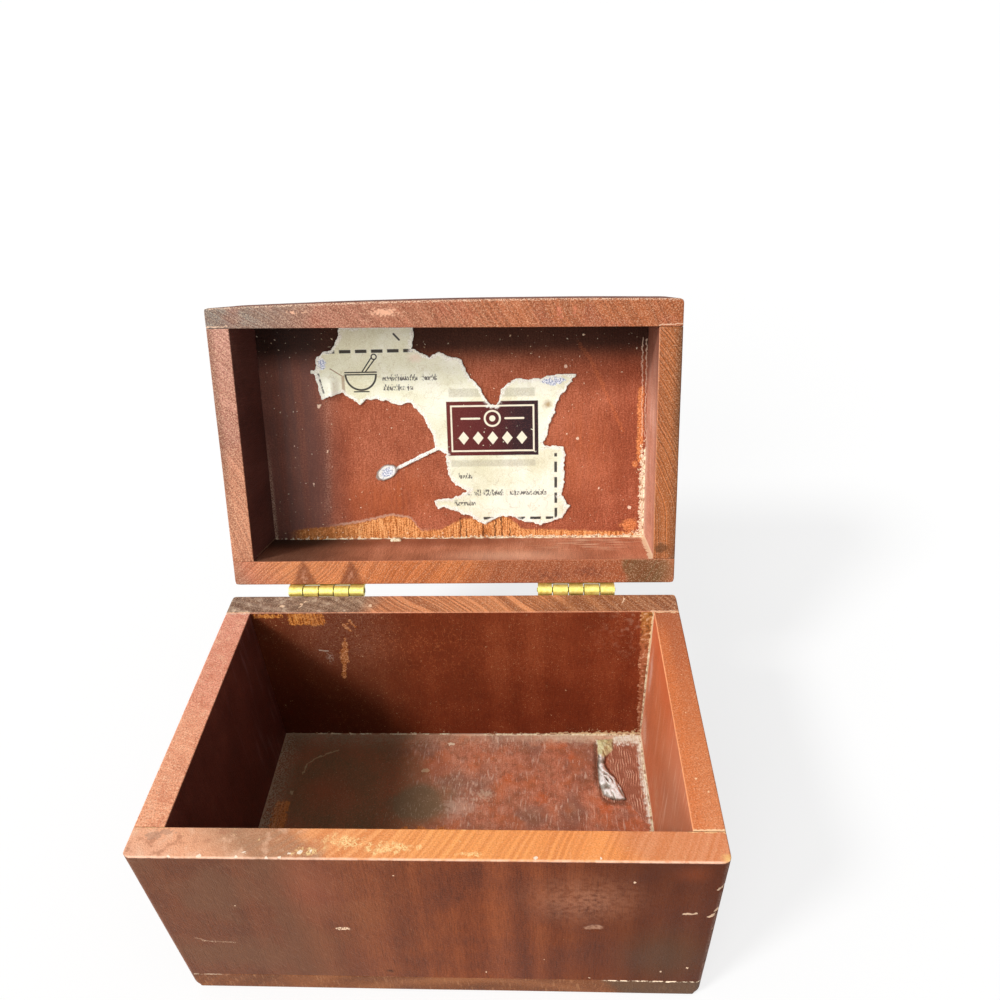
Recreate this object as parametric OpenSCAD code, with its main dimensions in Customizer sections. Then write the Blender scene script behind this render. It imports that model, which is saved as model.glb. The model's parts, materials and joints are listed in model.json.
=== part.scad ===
// Small hinged box of solid wood for recipe cards, with its lid standing open.
// Five boards make the base and five make the lid, which were glued up as one
// closed block and then sawn apart, so both halves share their butt joints.
// Lengths are in millimetres. +Z is up, the front faces -Y, and the origin is
// the middle of the underside. The lid is drawn closed and then swung open.

/* [Base] */
// Outside width, left to right
base_w = 152; // [140:0.5:170]
// Outside depth, front to back
base_d = 95; // [88:0.5:110]
// Outside height, with the bottom board
base_h = 73.5; // [60:0.5:90]
// Thickness of the four upright boards
wall_t = 8.4; // [7:0.1:12]
// Thickness of the bottom board
bottom_t = 9.5; // [6:0.1:12]

/* [Lid] */
// Width of the lid
lid_w = 151.4; // [139:0.1:170]
// Depth of the lid, back face to the middle of its front
lid_d = 94.8; // [87:0.1:110]
// Depth of the hollow under the top panel
hollow_h = 24.5; // [20:0.5:40]
// Thickness of the top panel
top_t = 9; // [6:0.1:12]
// Thickness of the back rail
back_rail_t = 8.6; // [7:0.1:12]
// Thickness of the two side rails
side_rail_t = 7.5; // [6:0.1:12]
// Thickness of the front rail at its left end
front_rail_left_t = 6.4; // [5:0.1:12]
// Thickness of the front rail at its right end
front_rail_right_t = 8.6; // [5:0.1:12]
// How far the hand-sanded front bulges between its ends
front_crown = 1; // [0.4:0.1:2]
// How far the lid stands open
lid_open = 111; // [0:1:185]

/* [Eased edges] */
// Radius of the upright corners of the base
base_corner_r = 2.2; // [1:0.1:3]
// Radius of the upright corners of the lid
lid_corner_r = 1.6; // [1:0.1:3]
// Radius at the left and right ends of the bottom board and the top panel
end_r = 4; // [2:0.5:5]
// Radius along the front and back of the bottom board and the top panel
long_r = 2; // [1:0.5:4]
// Radius along the two rims
rim_r = 0.6; // [0.3:0.1:1]

/* [Hinges] */
// Middle of the left hinge, across the width
left_hinge_x = -43.5; // [-55:0.5:-25]
// Middle of the right hinge, across the width
right_hinge_x = 42.5; // [25:0.5:55]
// Length of a hinge along its pin
hinge_l = 26; // [22:0.5:32]
// Height of a leaf, from the pin's axis to its free edge
leaf_h = 9.2; // [8.5:0.1:12]
// Thickness of the brass strip
leaf_t = 0.9; // [0.7:0.05:1.1]
// Outside radius of a knuckle
knuckle_r = 1.9; // [1.8:0.05:2.1]
// Length of each of the lid's three knuckles
lid_knuckle_l = 4.8; // [4:0.1:5.2]
// Radius of the pin
pin_r = 0.9; // [0.8:0.05:1]
// Distance between the two screws of a leaf
screw_pitch = 16.5; // [12:0.5:18]
// Radius of a screw's head
screw_head_r = 1.8; // [1.6:0.1:2]
// Radius of a screw's shank
screw_r = 0.9; // [0.8:0.05:1]
// Length of a screw, head and point included
screw_l = 7; // [6:0.5:7.5]

/* [Clipping] */
// Thickness of the paper glued inside the lid
paper_t = 0.3; // [0.1:0.05:0.5]

/* [Hidden] */
$fn = 48;

wood = "sienna";
brass = "goldenrod";
paper = "cornsilk";

// Gap between the rims of the closed box
rim_gap = 0.3;
// Play between the knuckles, end to end, and between a leaf and the other's knuckles
knuckle_play = 0.3;
// Radial play of the pin in the base's knuckles; the lid's knuckles grip it
pin_play = 0.05;
// Width of the seam that a rolled knuckle leaves where the strip meets itself
roll_seam = 0.2;
// Length of the peened end of a pin beyond the last knuckle
pin_end = 0.3;
// Length of a screw's point, and the width and depth of its slot
screw_point = 1.5;
slot_w = 0.5;
slot_deep = 0.45;

back_y = base_d / 2;
rim_z = base_h;
lid_z = rim_z + rim_gap;
lid_top_z = lid_z + hollow_h + top_t;
// The pin lies behind the back faces, level with the gap between the rims
pin_off = knuckle_r + knuckle_play;
pin_y = back_y + pin_off;
pin_z = rim_z + rim_gap / 2;
// Each leaf's screws lie at the middle of the part of its plate beyond the knuckles
screw_z = (leaf_h + knuckle_r) / 2;
base_knuckle_l = (hinge_l - 3 * lid_knuckle_l - 4 * knuckle_play) / 2;
knuckle_step = lid_knuckle_l + base_knuckle_l + 2 * knuckle_play;
lid_knuckle_starts = [for (i = [0:2]) i * knuckle_step - hinge_l / 2];
base_knuckle_starts = [for (i = [0:1]) i * knuckle_step + lid_knuckle_l + knuckle_play - hinge_l / 2];
// The lid's front is a shallow curve between its rounded corners, in short flats
crown_half = lid_w / 2 - lid_corner_r;
crown_flats = 16;
// Rectangle that is larger than the box, for cutting its boards apart
far = 2 * base_w;

// Outline of the torn clipping: distance to the right of the lid's middle, and
// distance from the lid's back face towards its front
clipping_outline = [
    [-39, 86], [-12.5, 86], [-13.5, 78.5], [-7, 75.5], [-3, 77], [3.5, 74.5], [9.5, 64],
    [12.5, 58.5], [15, 58.5], [17.5, 63.5], [24, 67.5], [43, 68.5], [37.5, 60], [34, 52],
    [32, 44], [39.5, 42.5], [39.5, 30.5], [37.5, 23], [41, 21], [39.5, 17], [30.5, 13.5],
    [17.5, 17], [10.5, 14], [0, 19.5], [-6.5, 20], [-8, 23], [4, 26.5], [-1, 29],
    [-2.5, 40.5], [-8, 43], [-8, 52.5], [-15, 59.5], [-27.5, 60.5], [-33.5, 58.5],
    [-39, 63], [-46.5, 61], [-50, 70.5], [-44.5, 77.5]
];

// Rectangle whose two lower corners have one radius and two upper corners another
module eased_rect(x0, y0, x1, y1, low_r, high_r) {
    polygon([
        [x0 + low_r, y0], [x1 - low_r, y0], [x1, y0 + low_r], [x1, y1 - high_r],
        [x1 - high_r, y1], [x0 + high_r, y1], [x0, y1 - high_r], [x0, y0 + low_r]
    ]);
    for (x = [x0 + low_r, x1 - low_r])
        translate([x, y0 + low_r]) circle(low_r);
    for (x = [x0 + high_r, x1 - high_r])
        translate([x, y1 - high_r]) circle(high_r);
}

// Turns a profile drawn as depth and height into a solid that runs from left to right
module along_x(length) {
    rotate([90, 0, 90]) linear_extrude(length) children();
}

// Turns a profile drawn as width and height into a solid that runs from front to back
module along_y(length) {
    rotate([90, 0, 0]) linear_extrude(length) children();
}

// The glued-up base before it was hollow, with every outside edge eased
module base_block() {
    intersection() {
        linear_extrude(base_h)
            eased_rect(-base_w / 2, -base_d / 2, base_w / 2, base_d / 2, base_corner_r, base_corner_r);
        translate([0, base_d / 2, 0]) along_y(base_d)
            eased_rect(-base_w / 2, 0, base_w / 2, base_h, end_r, rim_r);
        translate([-base_w / 2, 0, 0]) along_x(base_w)
            eased_rect(-base_d / 2, 0, base_d / 2, base_h, long_r, rim_r);
    }
}

// Plan of the lid: straight at the back and sides, and crowned along the front,
// where the depth falls off with the square of the distance from the middle
module lid_plan() {
    front_y = back_y - lid_d;
    eased_rect(-lid_w / 2, front_y + front_crown, lid_w / 2, back_y, lid_corner_r, lid_corner_r);
    polygon([
        for (i = [0:crown_flats])
            let (s = 2 * i / crown_flats - 1)
            [s * crown_half, front_y + front_crown * s * s],
        [crown_half, back_y - lid_d / 2], [-crown_half, back_y - lid_d / 2]
    ]);
}

// The glued-up lid before it was hollow, closed on the base
module lid_block() {
    intersection() {
        translate([0, 0, lid_z]) linear_extrude(hollow_h + top_t) lid_plan();
        translate([0, back_y, 0]) along_y(lid_d)
            eased_rect(-lid_w / 2, lid_z, lid_w / 2, lid_top_z, rim_r, end_r);
        translate([-lid_w / 2, 0, 0]) along_x(lid_w)
            eased_rect(back_y - lid_d, lid_z, back_y, lid_top_z, rim_r, long_r);
    }
}

// Everything in front of the front rail's slanting inner face, seen in plan
module front_rail_plan() {
    inner_left = back_y - lid_d + front_crown + front_rail_left_t;
    inner_right = back_y - lid_d + front_crown + front_rail_right_t;
    polygon([[-lid_w / 2, inner_left], [lid_w / 2, inner_right], [lid_w / 2, -far], [-lid_w / 2, -far]]);
}

// Everything behind the back rail's inner face, seen in plan
module back_rail_plan() {
    translate([-far, back_y - back_rail_t]) square([2 * far, far]);
}

// Swings the lid and what is fixed to it from closed to open about the hinge pins
module swung_open() {
    translate([0, pin_y, pin_z]) rotate([-lid_open, 0, 0]) translate([0, -pin_y, -pin_z]) children();
}

// Upright board of the base, cut from the block between two depths and two widths
module base_board(x0, x1, y0, y1) {
    intersection() {
        base_block();
        translate([x0, y0, bottom_t]) cube([x1 - x0, y1 - y0, base_h]);
    }
}

module base_front_board() {
    color(wood) base_board(-base_w / 2, base_w / 2, -base_d / 2, -base_d / 2 + wall_t);
}

module base_back_board() {
    color(wood) difference() {
        base_board(-base_w / 2, base_w / 2, base_d / 2 - wall_t, base_d / 2);
        for (x = [left_hinge_x, right_hinge_x])
            translate([x, pin_y, pin_z]) mirror([0, 0, 1]) leaf_screws();
    }
}

module base_left_board() {
    color(wood) base_board(-base_w / 2, -base_w / 2 + wall_t, -base_d / 2 + wall_t, base_d / 2 - wall_t);
}

module base_right_board() {
    color(wood) base_board(base_w / 2 - wall_t, base_w / 2, -base_d / 2 + wall_t, base_d / 2 - wall_t);
}

module base_bottom_board() {
    color(wood) intersection() {
        base_block();
        translate([-base_w / 2, -base_d / 2, 0]) cube([base_w, base_d, bottom_t]);
    }
}

// The rails' layer of the closed lid
module rail_layer() {
    intersection() {
        lid_block();
        translate([-far / 2, -far / 2, lid_z]) cube([far, far, hollow_h]);
    }
}

module lid_front_rail() {
    color(wood) swung_open() intersection() {
        rail_layer();
        translate([0, 0, lid_z]) linear_extrude(hollow_h) front_rail_plan();
    }
}

module lid_back_rail() {
    color(wood) swung_open() difference() {
        intersection() {
            rail_layer();
            translate([0, 0, lid_z]) linear_extrude(hollow_h) back_rail_plan();
        }
        for (x = [left_hinge_x, right_hinge_x])
            translate([x, pin_y, pin_z]) leaf_screws();
    }
}

// Side rail of the lid, cut to fit between the front and back rails
module lid_side_rail(x0) {
    color(wood) swung_open() intersection() {
        rail_layer();
        translate([x0, 0, lid_z]) linear_extrude(hollow_h) difference() {
            translate([0, back_y - lid_d]) square([side_rail_t, lid_d - back_rail_t]);
            translate([-x0, 0]) front_rail_plan();
        }
    }
}

module lid_left_rail() {
    lid_side_rail(-lid_w / 2);
}

module lid_right_rail() {
    lid_side_rail(lid_w / 2 - side_rail_t);
}

module lid_top_panel() {
    color(wood) swung_open() intersection() {
        lid_block();
        translate([-far / 2, -far / 2, lid_z + hollow_h]) cube([far, far, top_t]);
    }
}

// End view of a rolled knuckle and the strip that runs from it to the leaf's plate.
// The pin's axis is the origin, the board's face lies pin_off to the left and the
// leaf's free edge is upwards.
module knuckle_profile(bore_r) {
    crease_x = leaf_t - pin_off;
    crease_angle = acos(-crease_x / knuckle_r);
    difference() {
        union() {
            circle(knuckle_r);
            polygon([
                [-pin_off, pin_off], [-knuckle_r, 0], [0, 0],
                [crease_x, knuckle_r * sin(crease_angle)], [crease_x, pin_off]
            ]);
        }
        circle(bore_r);
        rotate(180 - crease_angle) translate([0, -roll_seam / 2]) square([knuckle_r + roll_seam, roll_seam]);
    }
}

// One hinge leaf with its knuckles up the pin's axis, screwed to the board on its left.
// The plate is cut back where the other leaf's knuckles turn.
module hinge_leaf(starts, length, bore_r) {
    color(brass) difference() {
        union() {
            translate([-hinge_l / 2, -pin_off, pin_off]) cube([hinge_l, leaf_t, leaf_h - pin_off]);
            for (x = starts)
                translate([x, 0, 0]) along_x(length) knuckle_profile(bore_r);
        }
        for (x = [-screw_pitch / 2, screw_pitch / 2])
            translate([x, leaf_t - pin_off, screw_z]) screw_solid();
    }
}

// Countersunk screw that points towards -Y, with the top of its head at the origin
module screw_solid() {
    rotate([90, 0, 0]) {
        cylinder(h = leaf_t, r1 = screw_head_r, r2 = screw_r);
        translate([0, 0, leaf_t]) cylinder(h = screw_l - leaf_t - screw_point, r = screw_r);
        translate([0, 0, screw_l - screw_point]) cylinder(h = screw_point, r1 = screw_r, r2 = 0);
    }
}

// The two screws of one leaf, in the hinge's own place, with plain heads
module leaf_screws() {
    for (x = [-screw_pitch / 2, screw_pitch / 2])
        translate([x, leaf_t - pin_off, screw_z]) screw_solid();
}

// The two screws of one leaf, with the slots that drive them
module slotted_screws() {
    color(brass) difference() {
        leaf_screws();
        for (x = [-screw_pitch / 2, screw_pitch / 2])
            translate([x, leaf_t - pin_off - slot_deep / 2, screw_z])
                cube([2 * screw_head_r + 1, slot_deep, slot_w], center = true);
    }
}

// Hinge pin that lies along X, with a peened cone on each end
module hinge_pin() {
    color(brass) rotate([0, 90, 0]) {
        cylinder(h = hinge_l, r = pin_r, center = true);
        for (side = [0, 1]) mirror([0, 0, side])
            translate([0, 0, hinge_l / 2]) cylinder(h = pin_end, r1 = pin_r, r2 = pin_r - pin_end);
    }
}

module base_leaf(x) {
    translate([x, pin_y, pin_z]) mirror([0, 0, 1])
        hinge_leaf(base_knuckle_starts, base_knuckle_l, pin_r + pin_play);
}

module lid_leaf(x) {
    swung_open() translate([x, pin_y, pin_z]) hinge_leaf(lid_knuckle_starts, lid_knuckle_l, pin_r);
}

module pin(x) {
    swung_open() translate([x, pin_y, pin_z]) hinge_pin();
}

module base_screws(x) {
    translate([x, pin_y, pin_z]) mirror([0, 0, 1]) slotted_screws();
}

module lid_screws(x) {
    swung_open() translate([x, pin_y, pin_z]) slotted_screws();
}

module pasted_clipping() {
    color(paper) swung_open() translate([0, back_y, lid_z + hollow_h - paper_t])
        mirror([0, 1, 0]) linear_extrude(paper_t) polygon(clipping_outline);
}

base_front_board();
base_back_board();
base_left_board();
base_right_board();
base_bottom_board();
lid_front_rail();
lid_back_rail();
lid_left_rail();
lid_right_rail();
lid_top_panel();
base_leaf(left_hinge_x);  // left_hinge_base_leaf
lid_leaf(left_hinge_x);  // left_hinge_lid_leaf
pin(left_hinge_x);  // left_hinge_pin
base_screws(left_hinge_x);  // left_hinge_base_screws
lid_screws(left_hinge_x);  // left_hinge_lid_screws
base_leaf(right_hinge_x);  // right_hinge_base_leaf
lid_leaf(right_hinge_x);  // right_hinge_lid_leaf
pin(right_hinge_x);  // right_hinge_pin
base_screws(right_hinge_x);  // right_hinge_base_screws
lid_screws(right_hinge_x);  // right_hinge_lid_screws
pasted_clipping();
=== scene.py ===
# %% [markdown]
# This lesson dresses a small recipe card box of solid wood. The box is old: its red-brown stain is
# worn, its lid stands open on two brass hinges, and the torn rest of a paper clipping is still glued
# inside the lid. The working parts come as exact solids, which are loaded first and never moved.
# All lengths below are written in millimetres and become metres where a mesh is made. The front of
# the box faces -Y, and the origin is the middle of its underside.

# %% Load the solids
import json
import math
import bpy
import numpy as np
from mathutils import Matrix, Vector

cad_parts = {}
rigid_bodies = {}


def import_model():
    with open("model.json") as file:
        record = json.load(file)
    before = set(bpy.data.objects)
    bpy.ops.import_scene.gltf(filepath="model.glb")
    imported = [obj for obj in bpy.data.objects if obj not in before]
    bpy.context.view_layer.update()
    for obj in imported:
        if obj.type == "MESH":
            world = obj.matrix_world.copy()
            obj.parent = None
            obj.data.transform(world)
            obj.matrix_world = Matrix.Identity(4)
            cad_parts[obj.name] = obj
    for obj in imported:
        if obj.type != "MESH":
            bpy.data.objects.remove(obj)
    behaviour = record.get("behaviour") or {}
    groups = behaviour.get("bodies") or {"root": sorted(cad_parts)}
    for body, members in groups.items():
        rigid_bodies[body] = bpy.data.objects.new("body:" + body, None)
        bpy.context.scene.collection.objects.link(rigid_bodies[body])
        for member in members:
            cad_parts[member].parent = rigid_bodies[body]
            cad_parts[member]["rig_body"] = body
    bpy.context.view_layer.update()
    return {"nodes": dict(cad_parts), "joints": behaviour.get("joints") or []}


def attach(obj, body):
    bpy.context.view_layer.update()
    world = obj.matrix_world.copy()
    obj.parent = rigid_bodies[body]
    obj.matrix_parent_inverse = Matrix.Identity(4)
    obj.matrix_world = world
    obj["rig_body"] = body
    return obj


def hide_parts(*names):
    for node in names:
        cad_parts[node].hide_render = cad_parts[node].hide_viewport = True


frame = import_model()
MM = 0.001

# %% [markdown]
# The camera comes first, because everything else is judged through it. Its place and its three turns
# were solved from the straight edges of the box: a wide lens, close to the front left of the middle,
# looking down by about 36 degrees and rolled by 2.5 degrees, as a hand-held telephone is.

# %% Camera
LENS = 28.76
CAMERA_PLACE = (29.12, -152.92, 260.54)
CAMERA_YAW = 3.185
CAMERA_PITCH = -36.212
CAMERA_ROLL = 2.478


def add_object(name, data):
    """A new object at the origin, with a camera, a lamp or a mesh as its data."""
    thing = bpy.data.objects.new(name, data)
    bpy.context.collection.objects.link(thing)
    return thing


eye_data = bpy.data.cameras.new("camera")
eye_data.lens = LENS
eye_data.sensor_width = 36
eye_data.clip_start = 0.01
eye = add_object("camera", eye_data)
level_look = Matrix.Rotation(math.radians(90), 4, "X")
eye_turn = (Matrix.Rotation(math.radians(CAMERA_YAW), 4, "Z")
            @ Matrix.Rotation(math.radians(CAMERA_PITCH), 4, "X")
            @ Matrix.Rotation(math.radians(CAMERA_ROLL), 4, "Y") @ level_look)
eye.matrix_world = Matrix.Translation(Vector(CAMERA_PLACE) * MM) @ eye_turn
bpy.context.scene.camera = eye
print("camera looks along", [round(c, 3) for c in eye.matrix_world.col[2][:3]])

# %% [markdown]
# Colours in this lesson are written as the 0 to 255 numbers of a colour picker. Blender's sockets
# want linear light, so one function converts them. The studio's light is then set so that a surface
# facing it renders about as its colour is written.

# %% Colours
def rgb(red, green, blue):
    """Linear colour of a 0 to 255 sRGB colour: ((v + 0.055) / 1.055) to the power 2.4 above 0.04."""
    shares = [v / 255 for v in (red, green, blue)]
    return tuple(v / 12.92 if v < 0.04045 else ((v + 0.055) / 1.055) ** 2.4 for v in shares)

# %% [markdown]
# Node materials are sums and products of patterns, and a long graph is easier to read as arithmetic.
# The class below wraps one output socket. Python's own operators on it add Math nodes, vectors have
# their own few methods, and `node` makes any other node from its type, settings and sockets. `lay`
# puts a whole table of marks over a colour, so a painter's layers can be read from top to bottom.

# %% A socket that can be added and multiplied
def fill_ramp(ramp, stops):
    """Sets a colour ramp's stops from pairs of a position and an RGB colour or a grey value."""
    while len(ramp.elements) > 1:
        ramp.elements.remove(ramp.elements[-1])
    for index, (place, colour) in enumerate(stops):
        element = ramp.elements[0] if index == 0 else ramp.elements.new(place)
        element.position = place
        element.color = (*colour, 1) if isinstance(colour, tuple) else (colour, colour, colour, 1)


class Field:
    """A number, vector or colour that varies over a surface: one output socket of a node."""

    def __init__(self, socket):
        self.socket = socket
        self.tree = socket.id_data

    def node(self, kind, settings=None, sockets=None, out=0):
        """Adds a node of any type: its settings first, then values or fields for its input sockets."""
        return add_node(self.tree, kind, settings, sockets, out)

    def math(self, operation, *others, clamp=False):
        sockets = {index: value for index, value in enumerate((self,) + others)}
        return self.node("ShaderNodeMath", {"operation": operation, "use_clamp": clamp}, sockets)

    def __add__(self, other):
        return self.math("ADD", other)

    def __sub__(self, other):
        return self.math("SUBTRACT", other)

    def __rsub__(self, other):
        flipped = {"operation": "SUBTRACT"}
        return self.node("ShaderNodeMath", flipped, {0: other, 1: self})

    def __mul__(self, other):
        return self.math("MULTIPLY", other)

    def __truediv__(self, other):
        return self.math("DIVIDE", other)

    def __abs__(self):
        return self.math("ABSOLUTE")

    def clip(self):
        """The value held between 0 and 1."""
        return self.math("ADD", 0.0, clamp=True)

    def rise(self, low, high, to_low=0.0, to_high=1.0):
        """A smooth step: to_low at or below low, to_high at or above high."""
        settings = {"interpolation_type": "SMOOTHSTEP"}
        sockets = {"Value": self, "From Min": low, "From Max": high, "To Min": to_low, "To Max": to_high}
        return self.node("ShaderNodeMapRange", settings, sockets)

    def vector(self, operation, other=None, scale=None, out=0):
        """A Vector Math node on this vector and another one."""
        sockets = {0: self}
        if other is not None:
            sockets[1] = other
        if scale is not None:
            sockets["Scale"] = scale
        return self.node("ShaderNodeVectorMath", {"operation": operation}, sockets, out)

    def parts(self):
        """The three numbers of this vector."""
        split = self.node("ShaderNodeSeparateXYZ", None, {0: self}).socket.node
        return [Field(output) for output in split.outputs]

    def mix(self, mask, other):
        """This colour where mask is 0, and the other one, a field or 0 to 255 colour, where it is 1."""
        settings = {"data_type": "RGBA"}
        other = other if isinstance(other, Field) else (*rgb(*other), 1)
        return self.node("ShaderNodeMix", settings, {0: mask, 6: self, 7: other}, out=2)

    def lay(self, *marks):
        """This colour with marks laid over it in turn, each a mask and a colour."""
        total = self
        for mask, colour in marks:
            total = total.mix(mask, colour)
        return total


def add_node(tree, kind, settings=None, sockets=None, out=0):
    """Adds a node to a tree, and returns one of its outputs as a Field."""
    made = tree.nodes.new(kind)
    for name, value in (settings or {}).items():
        if name == "stops":
            fill_ramp(made.color_ramp, value)
        else:
            setattr(made, name, value)
    for name, value in (sockets or {}).items():
        if isinstance(value, Field):
            tree.links.new(value.socket, made.inputs[name])
        else:
            made.inputs[name].default_value = value
    return Field(made.outputs[out])


# %% [markdown]
# A material starts as its Principled shader alone. A field is linked to one of the shader's sockets,
# and a value that is the same all over is set straight on it.

# %% Materials
def new_material(name):
    """An empty node material, returned with its Principled shader."""
    material = bpy.data.materials.new(name)
    material.use_nodes = True
    shader = next(n for n in material.node_tree.nodes if n.type == "BSDF_PRINCIPLED")
    return material, shader


def plug(shader, socket, value):
    """Links a field to a shader's socket, or sets a plain value on it."""
    if isinstance(value, Field):
        value.tree.links.new(value.socket, shader.inputs[socket])
    else:
        shader.inputs[socket].default_value = (*value, 1) if isinstance(value, tuple) else value


# %% [markdown]
# The light is a plain studio's: a soft lamp high on the left, a broader and weaker one low in front,
# and a pale room that fills the shadows. A Sun lamp with a wide angle gives the same brightness all
# over the floor and a soft shadow edge. The room is white only where the camera or a reflection sees it,
# so a white background puts no more light on the box. The Standard view shows colours as they are.

# %% Light and room
bpy.context.scene.view_settings.view_transform = "Standard"
FILL = 0.47


def seen_by(tree):
    """1 for a ray that the camera or a reflection follows, and 0 for one that only carries light."""
    rays = add_node(tree, "ShaderNodeLightPath").socket.node.outputs
    return Field(rays["Is Camera Ray"]) + Field(rays["Is Glossy Ray"]) + Field(rays["Is Transmission Ray"])


def soft_lamp(name, towards, strength, width):
    """A Sun lamp whose light comes from the direction `towards`, as wide as so many degrees."""
    data = bpy.data.lights.new(name, "SUN")
    data.energy = strength
    data.angle = math.radians(width)
    lamp = add_object(name, data)
    lamp.rotation_euler = Vector(towards).to_track_quat("Z", "Y").to_euler()
    print(name, strength, "from", towards)


soft_lamp("side_lamp", (-0.60, -0.38, 0.70), 2.1, 12)
soft_lamp("front_lamp", (-0.42, -0.80, 0.43), 1.3, 30)

world = bpy.data.worlds.new("pale_room")
bpy.context.scene.world = world
world.use_nodes = True
room = next(n for n in world.node_tree.nodes if n.type == "BACKGROUND")
room.inputs["Color"].default_value = (1, 1, 1, 1)
plug(room, "Strength", seen_by(world.node_tree).rise(0, 1, FILL, 1))

# %% [markdown]
# The floor is a plain pale sheet that shows the shadow of the box and nothing else. A part of what
# the camera sees of it is its own even white, so the shadow stays soft and pale.

# %% Floor
FLOOR_HALF = 8.0
EVEN_WHITE = 0.75

floor_mesh = bpy.data.meshes.new("floor")
corners = [(-1, -1), (1, -1), (1, 1), (-1, 1)]
floor_mesh.from_pydata([(x * FLOOR_HALF, y * FLOOR_HALF, 0) for x, y in corners], [], [(0, 1, 2, 3)])
floor = add_object("floor", floor_mesh)
floor_paint, floor_shader = new_material("pale_floor")
tree = floor_paint.node_tree
plug(floor_shader, "Base Color", rgb(246, 246, 245))
plug(floor_shader, "Roughness", 0.9)
glow = add_node(tree, "ShaderNodeEmission", None, {"Color": (1, 1, 1, 1), "Strength": 1.0})
sheet = add_node(tree, "ShaderNodeMixShader", None,
                 {0: seen_by(tree).rise(0, 1, 0, EVEN_WHITE), 1: Field(floor_shader.outputs[0]), 2: glow})
tree.links.new(sheet.socket, next(n for n in tree.nodes if n.type == "OUTPUT_MATERIAL").inputs[0])
floor_mesh.materials.append(floor_paint)
print("floor", 2 * FLOOR_HALF, "m wide")

# %% [markdown]
# The lid is easiest to think of closed, where its boards lie square to the axes, so its pieces are
# made closed and swung open afterwards. The record of the hinge joint says where the pins are and
# how far the lid stands open: its lower limit is the closed box.

# %% The lid's swing
lid_joint = next(j for j in frame["joints"] if j["child"] == "lid")
PIN = np.array(lid_joint["pos_m"]) / MM
OPEN = math.radians(-lid_joint["range_deg"][0])


def turn_about_pin(points, angle):
    """Points turned about the pins by an angle that is positive as the lid opens:
    depth and height turn as a pair, and the width stays."""
    depth = points[..., 1] - PIN[1]
    height = points[..., 2] - PIN[2]
    turned = np.array(points, float)
    turned[..., 1] = PIN[1] + depth * math.cos(angle) + height * math.sin(angle)
    turned[..., 2] = PIN[2] - depth * math.sin(angle) + height * math.cos(angle)
    return turned


def node_points(node):
    """The vertices of a solid, in millimetres, with the pieces of the lid swung shut."""
    mesh = frame["nodes"][node].data
    flat = np.empty(len(mesh.vertices) * 3)
    mesh.vertices.foreach_get("co", flat)
    points = flat.reshape(-1, 3) / MM
    on_lid = frame["nodes"][node]["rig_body"] == "lid"
    return turn_about_pin(points, -OPEN) if on_lid else points


def shut_box(node):
    """Lowest and highest corner of a solid in the closed box."""
    points = node_points(node)
    return points.min(0), points.max(0)


for board in ("base_front_board", "lid_front_rail", "lid_top_panel"):
    print(board, *[np.round(corner, 2).tolist() for corner in shut_box(board)])

# %% [markdown]
# A board is a closed box of six grids. The grid lines crowd towards the edges, where a rounding
# needs them, and around each chip. Easing then draws the corner of a cross-section towards the
# centre of its arc, one pair of axes at a time, so every edge can have a radius of its own.

# %% Grids for a board
EASE_STEPS = 4
GRID_STEP = 1.1
CHIP_LINES = 7


def rulings(low, high, radii, chips):
    """Places of the grid lines along one axis. Near each end they lie radius x (1 - tan angle) from
    the end for even angles from 0 to 45 degrees, so an eased edge gets even facets."""
    angles = np.linspace(0, math.pi / 4, EASE_STEPS + 1)
    near = np.unique(np.concatenate([radius * (1 - np.tan(angles)) for radius in radii]))
    span = high - low - 2 * near.max()
    middle = np.linspace(low + near.max(), high - near.max(), max(2, round(span / GRID_STEP) + 1))
    around = [np.linspace(c - reach, c + reach, CHIP_LINES) for c, reach in chips]
    extra = np.concatenate(around) if around else np.empty(0)
    inside = extra[(extra > low + near.max()) & (extra < high - near.max())]
    lines = np.sort(np.concatenate([low + near, middle, inside, high - near]))
    keep = np.concatenate([[True], np.diff(lines) > 0.02])
    keep[-1] = True
    return lines[keep]


def closed_grid(lines_x, lines_y, lines_z):
    """Six grids on the sides of a box, welded along its edges: points, and quads wound outwards.
    The points are numbered through a block of cells whose inside stays empty."""
    shape = (len(lines_x), len(lines_y), len(lines_z))
    number = np.full(shape, -1)
    shell = np.ones(shape, bool)
    shell[1:-1, 1:-1, 1:-1] = False
    number[shell] = np.arange(shell.sum())
    i, j, k = np.nonzero(shell)
    points = np.stack([lines_x[i], lines_y[j], lines_z[k]], 1)
    sides = [number[-1], number[0].T, number[:, -1].T, number[:, 0], number[:, :, -1], number[:, :, 0].T]
    quads = [np.stack([g[:-1, :-1], g[1:, :-1], g[1:, 1:], g[:-1, 1:]], -1).reshape(-1, 4) for g in sides]
    return points, np.concatenate(quads)


def ease(points, low, high, a, b, radii):
    """Rounds the four edges that lie square to axes a and b. A point beyond the centre c of an
    edge's arc goes to c + d x (larger part of d) / (length of d), where d is its distance from c."""
    for end_a in (0, 1):
        for end_b in (0, 1):
            radius = radii[end_a][end_b]
            if radius == 0:
                continue
            sign_a = 2 * end_a - 1
            sign_b = 2 * end_b - 1
            centre_a = (low[a], high[a])[end_a] - sign_a * radius
            centre_b = (low[b], high[b])[end_b] - sign_b * radius
            from_a = (points[:, a] - centre_a) * sign_a
            from_b = (points[:, b] - centre_b) * sign_b
            inside = (from_a > 0) & (from_b > 0)
            da = from_a[inside]
            db = from_b[inside]
            draw = np.maximum(da, db) / np.hypot(da, db)
            points[inside, a] = centre_a + sign_a * da * draw
            points[inside, b] = centre_b + sign_b * db * draw
    return points


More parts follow.
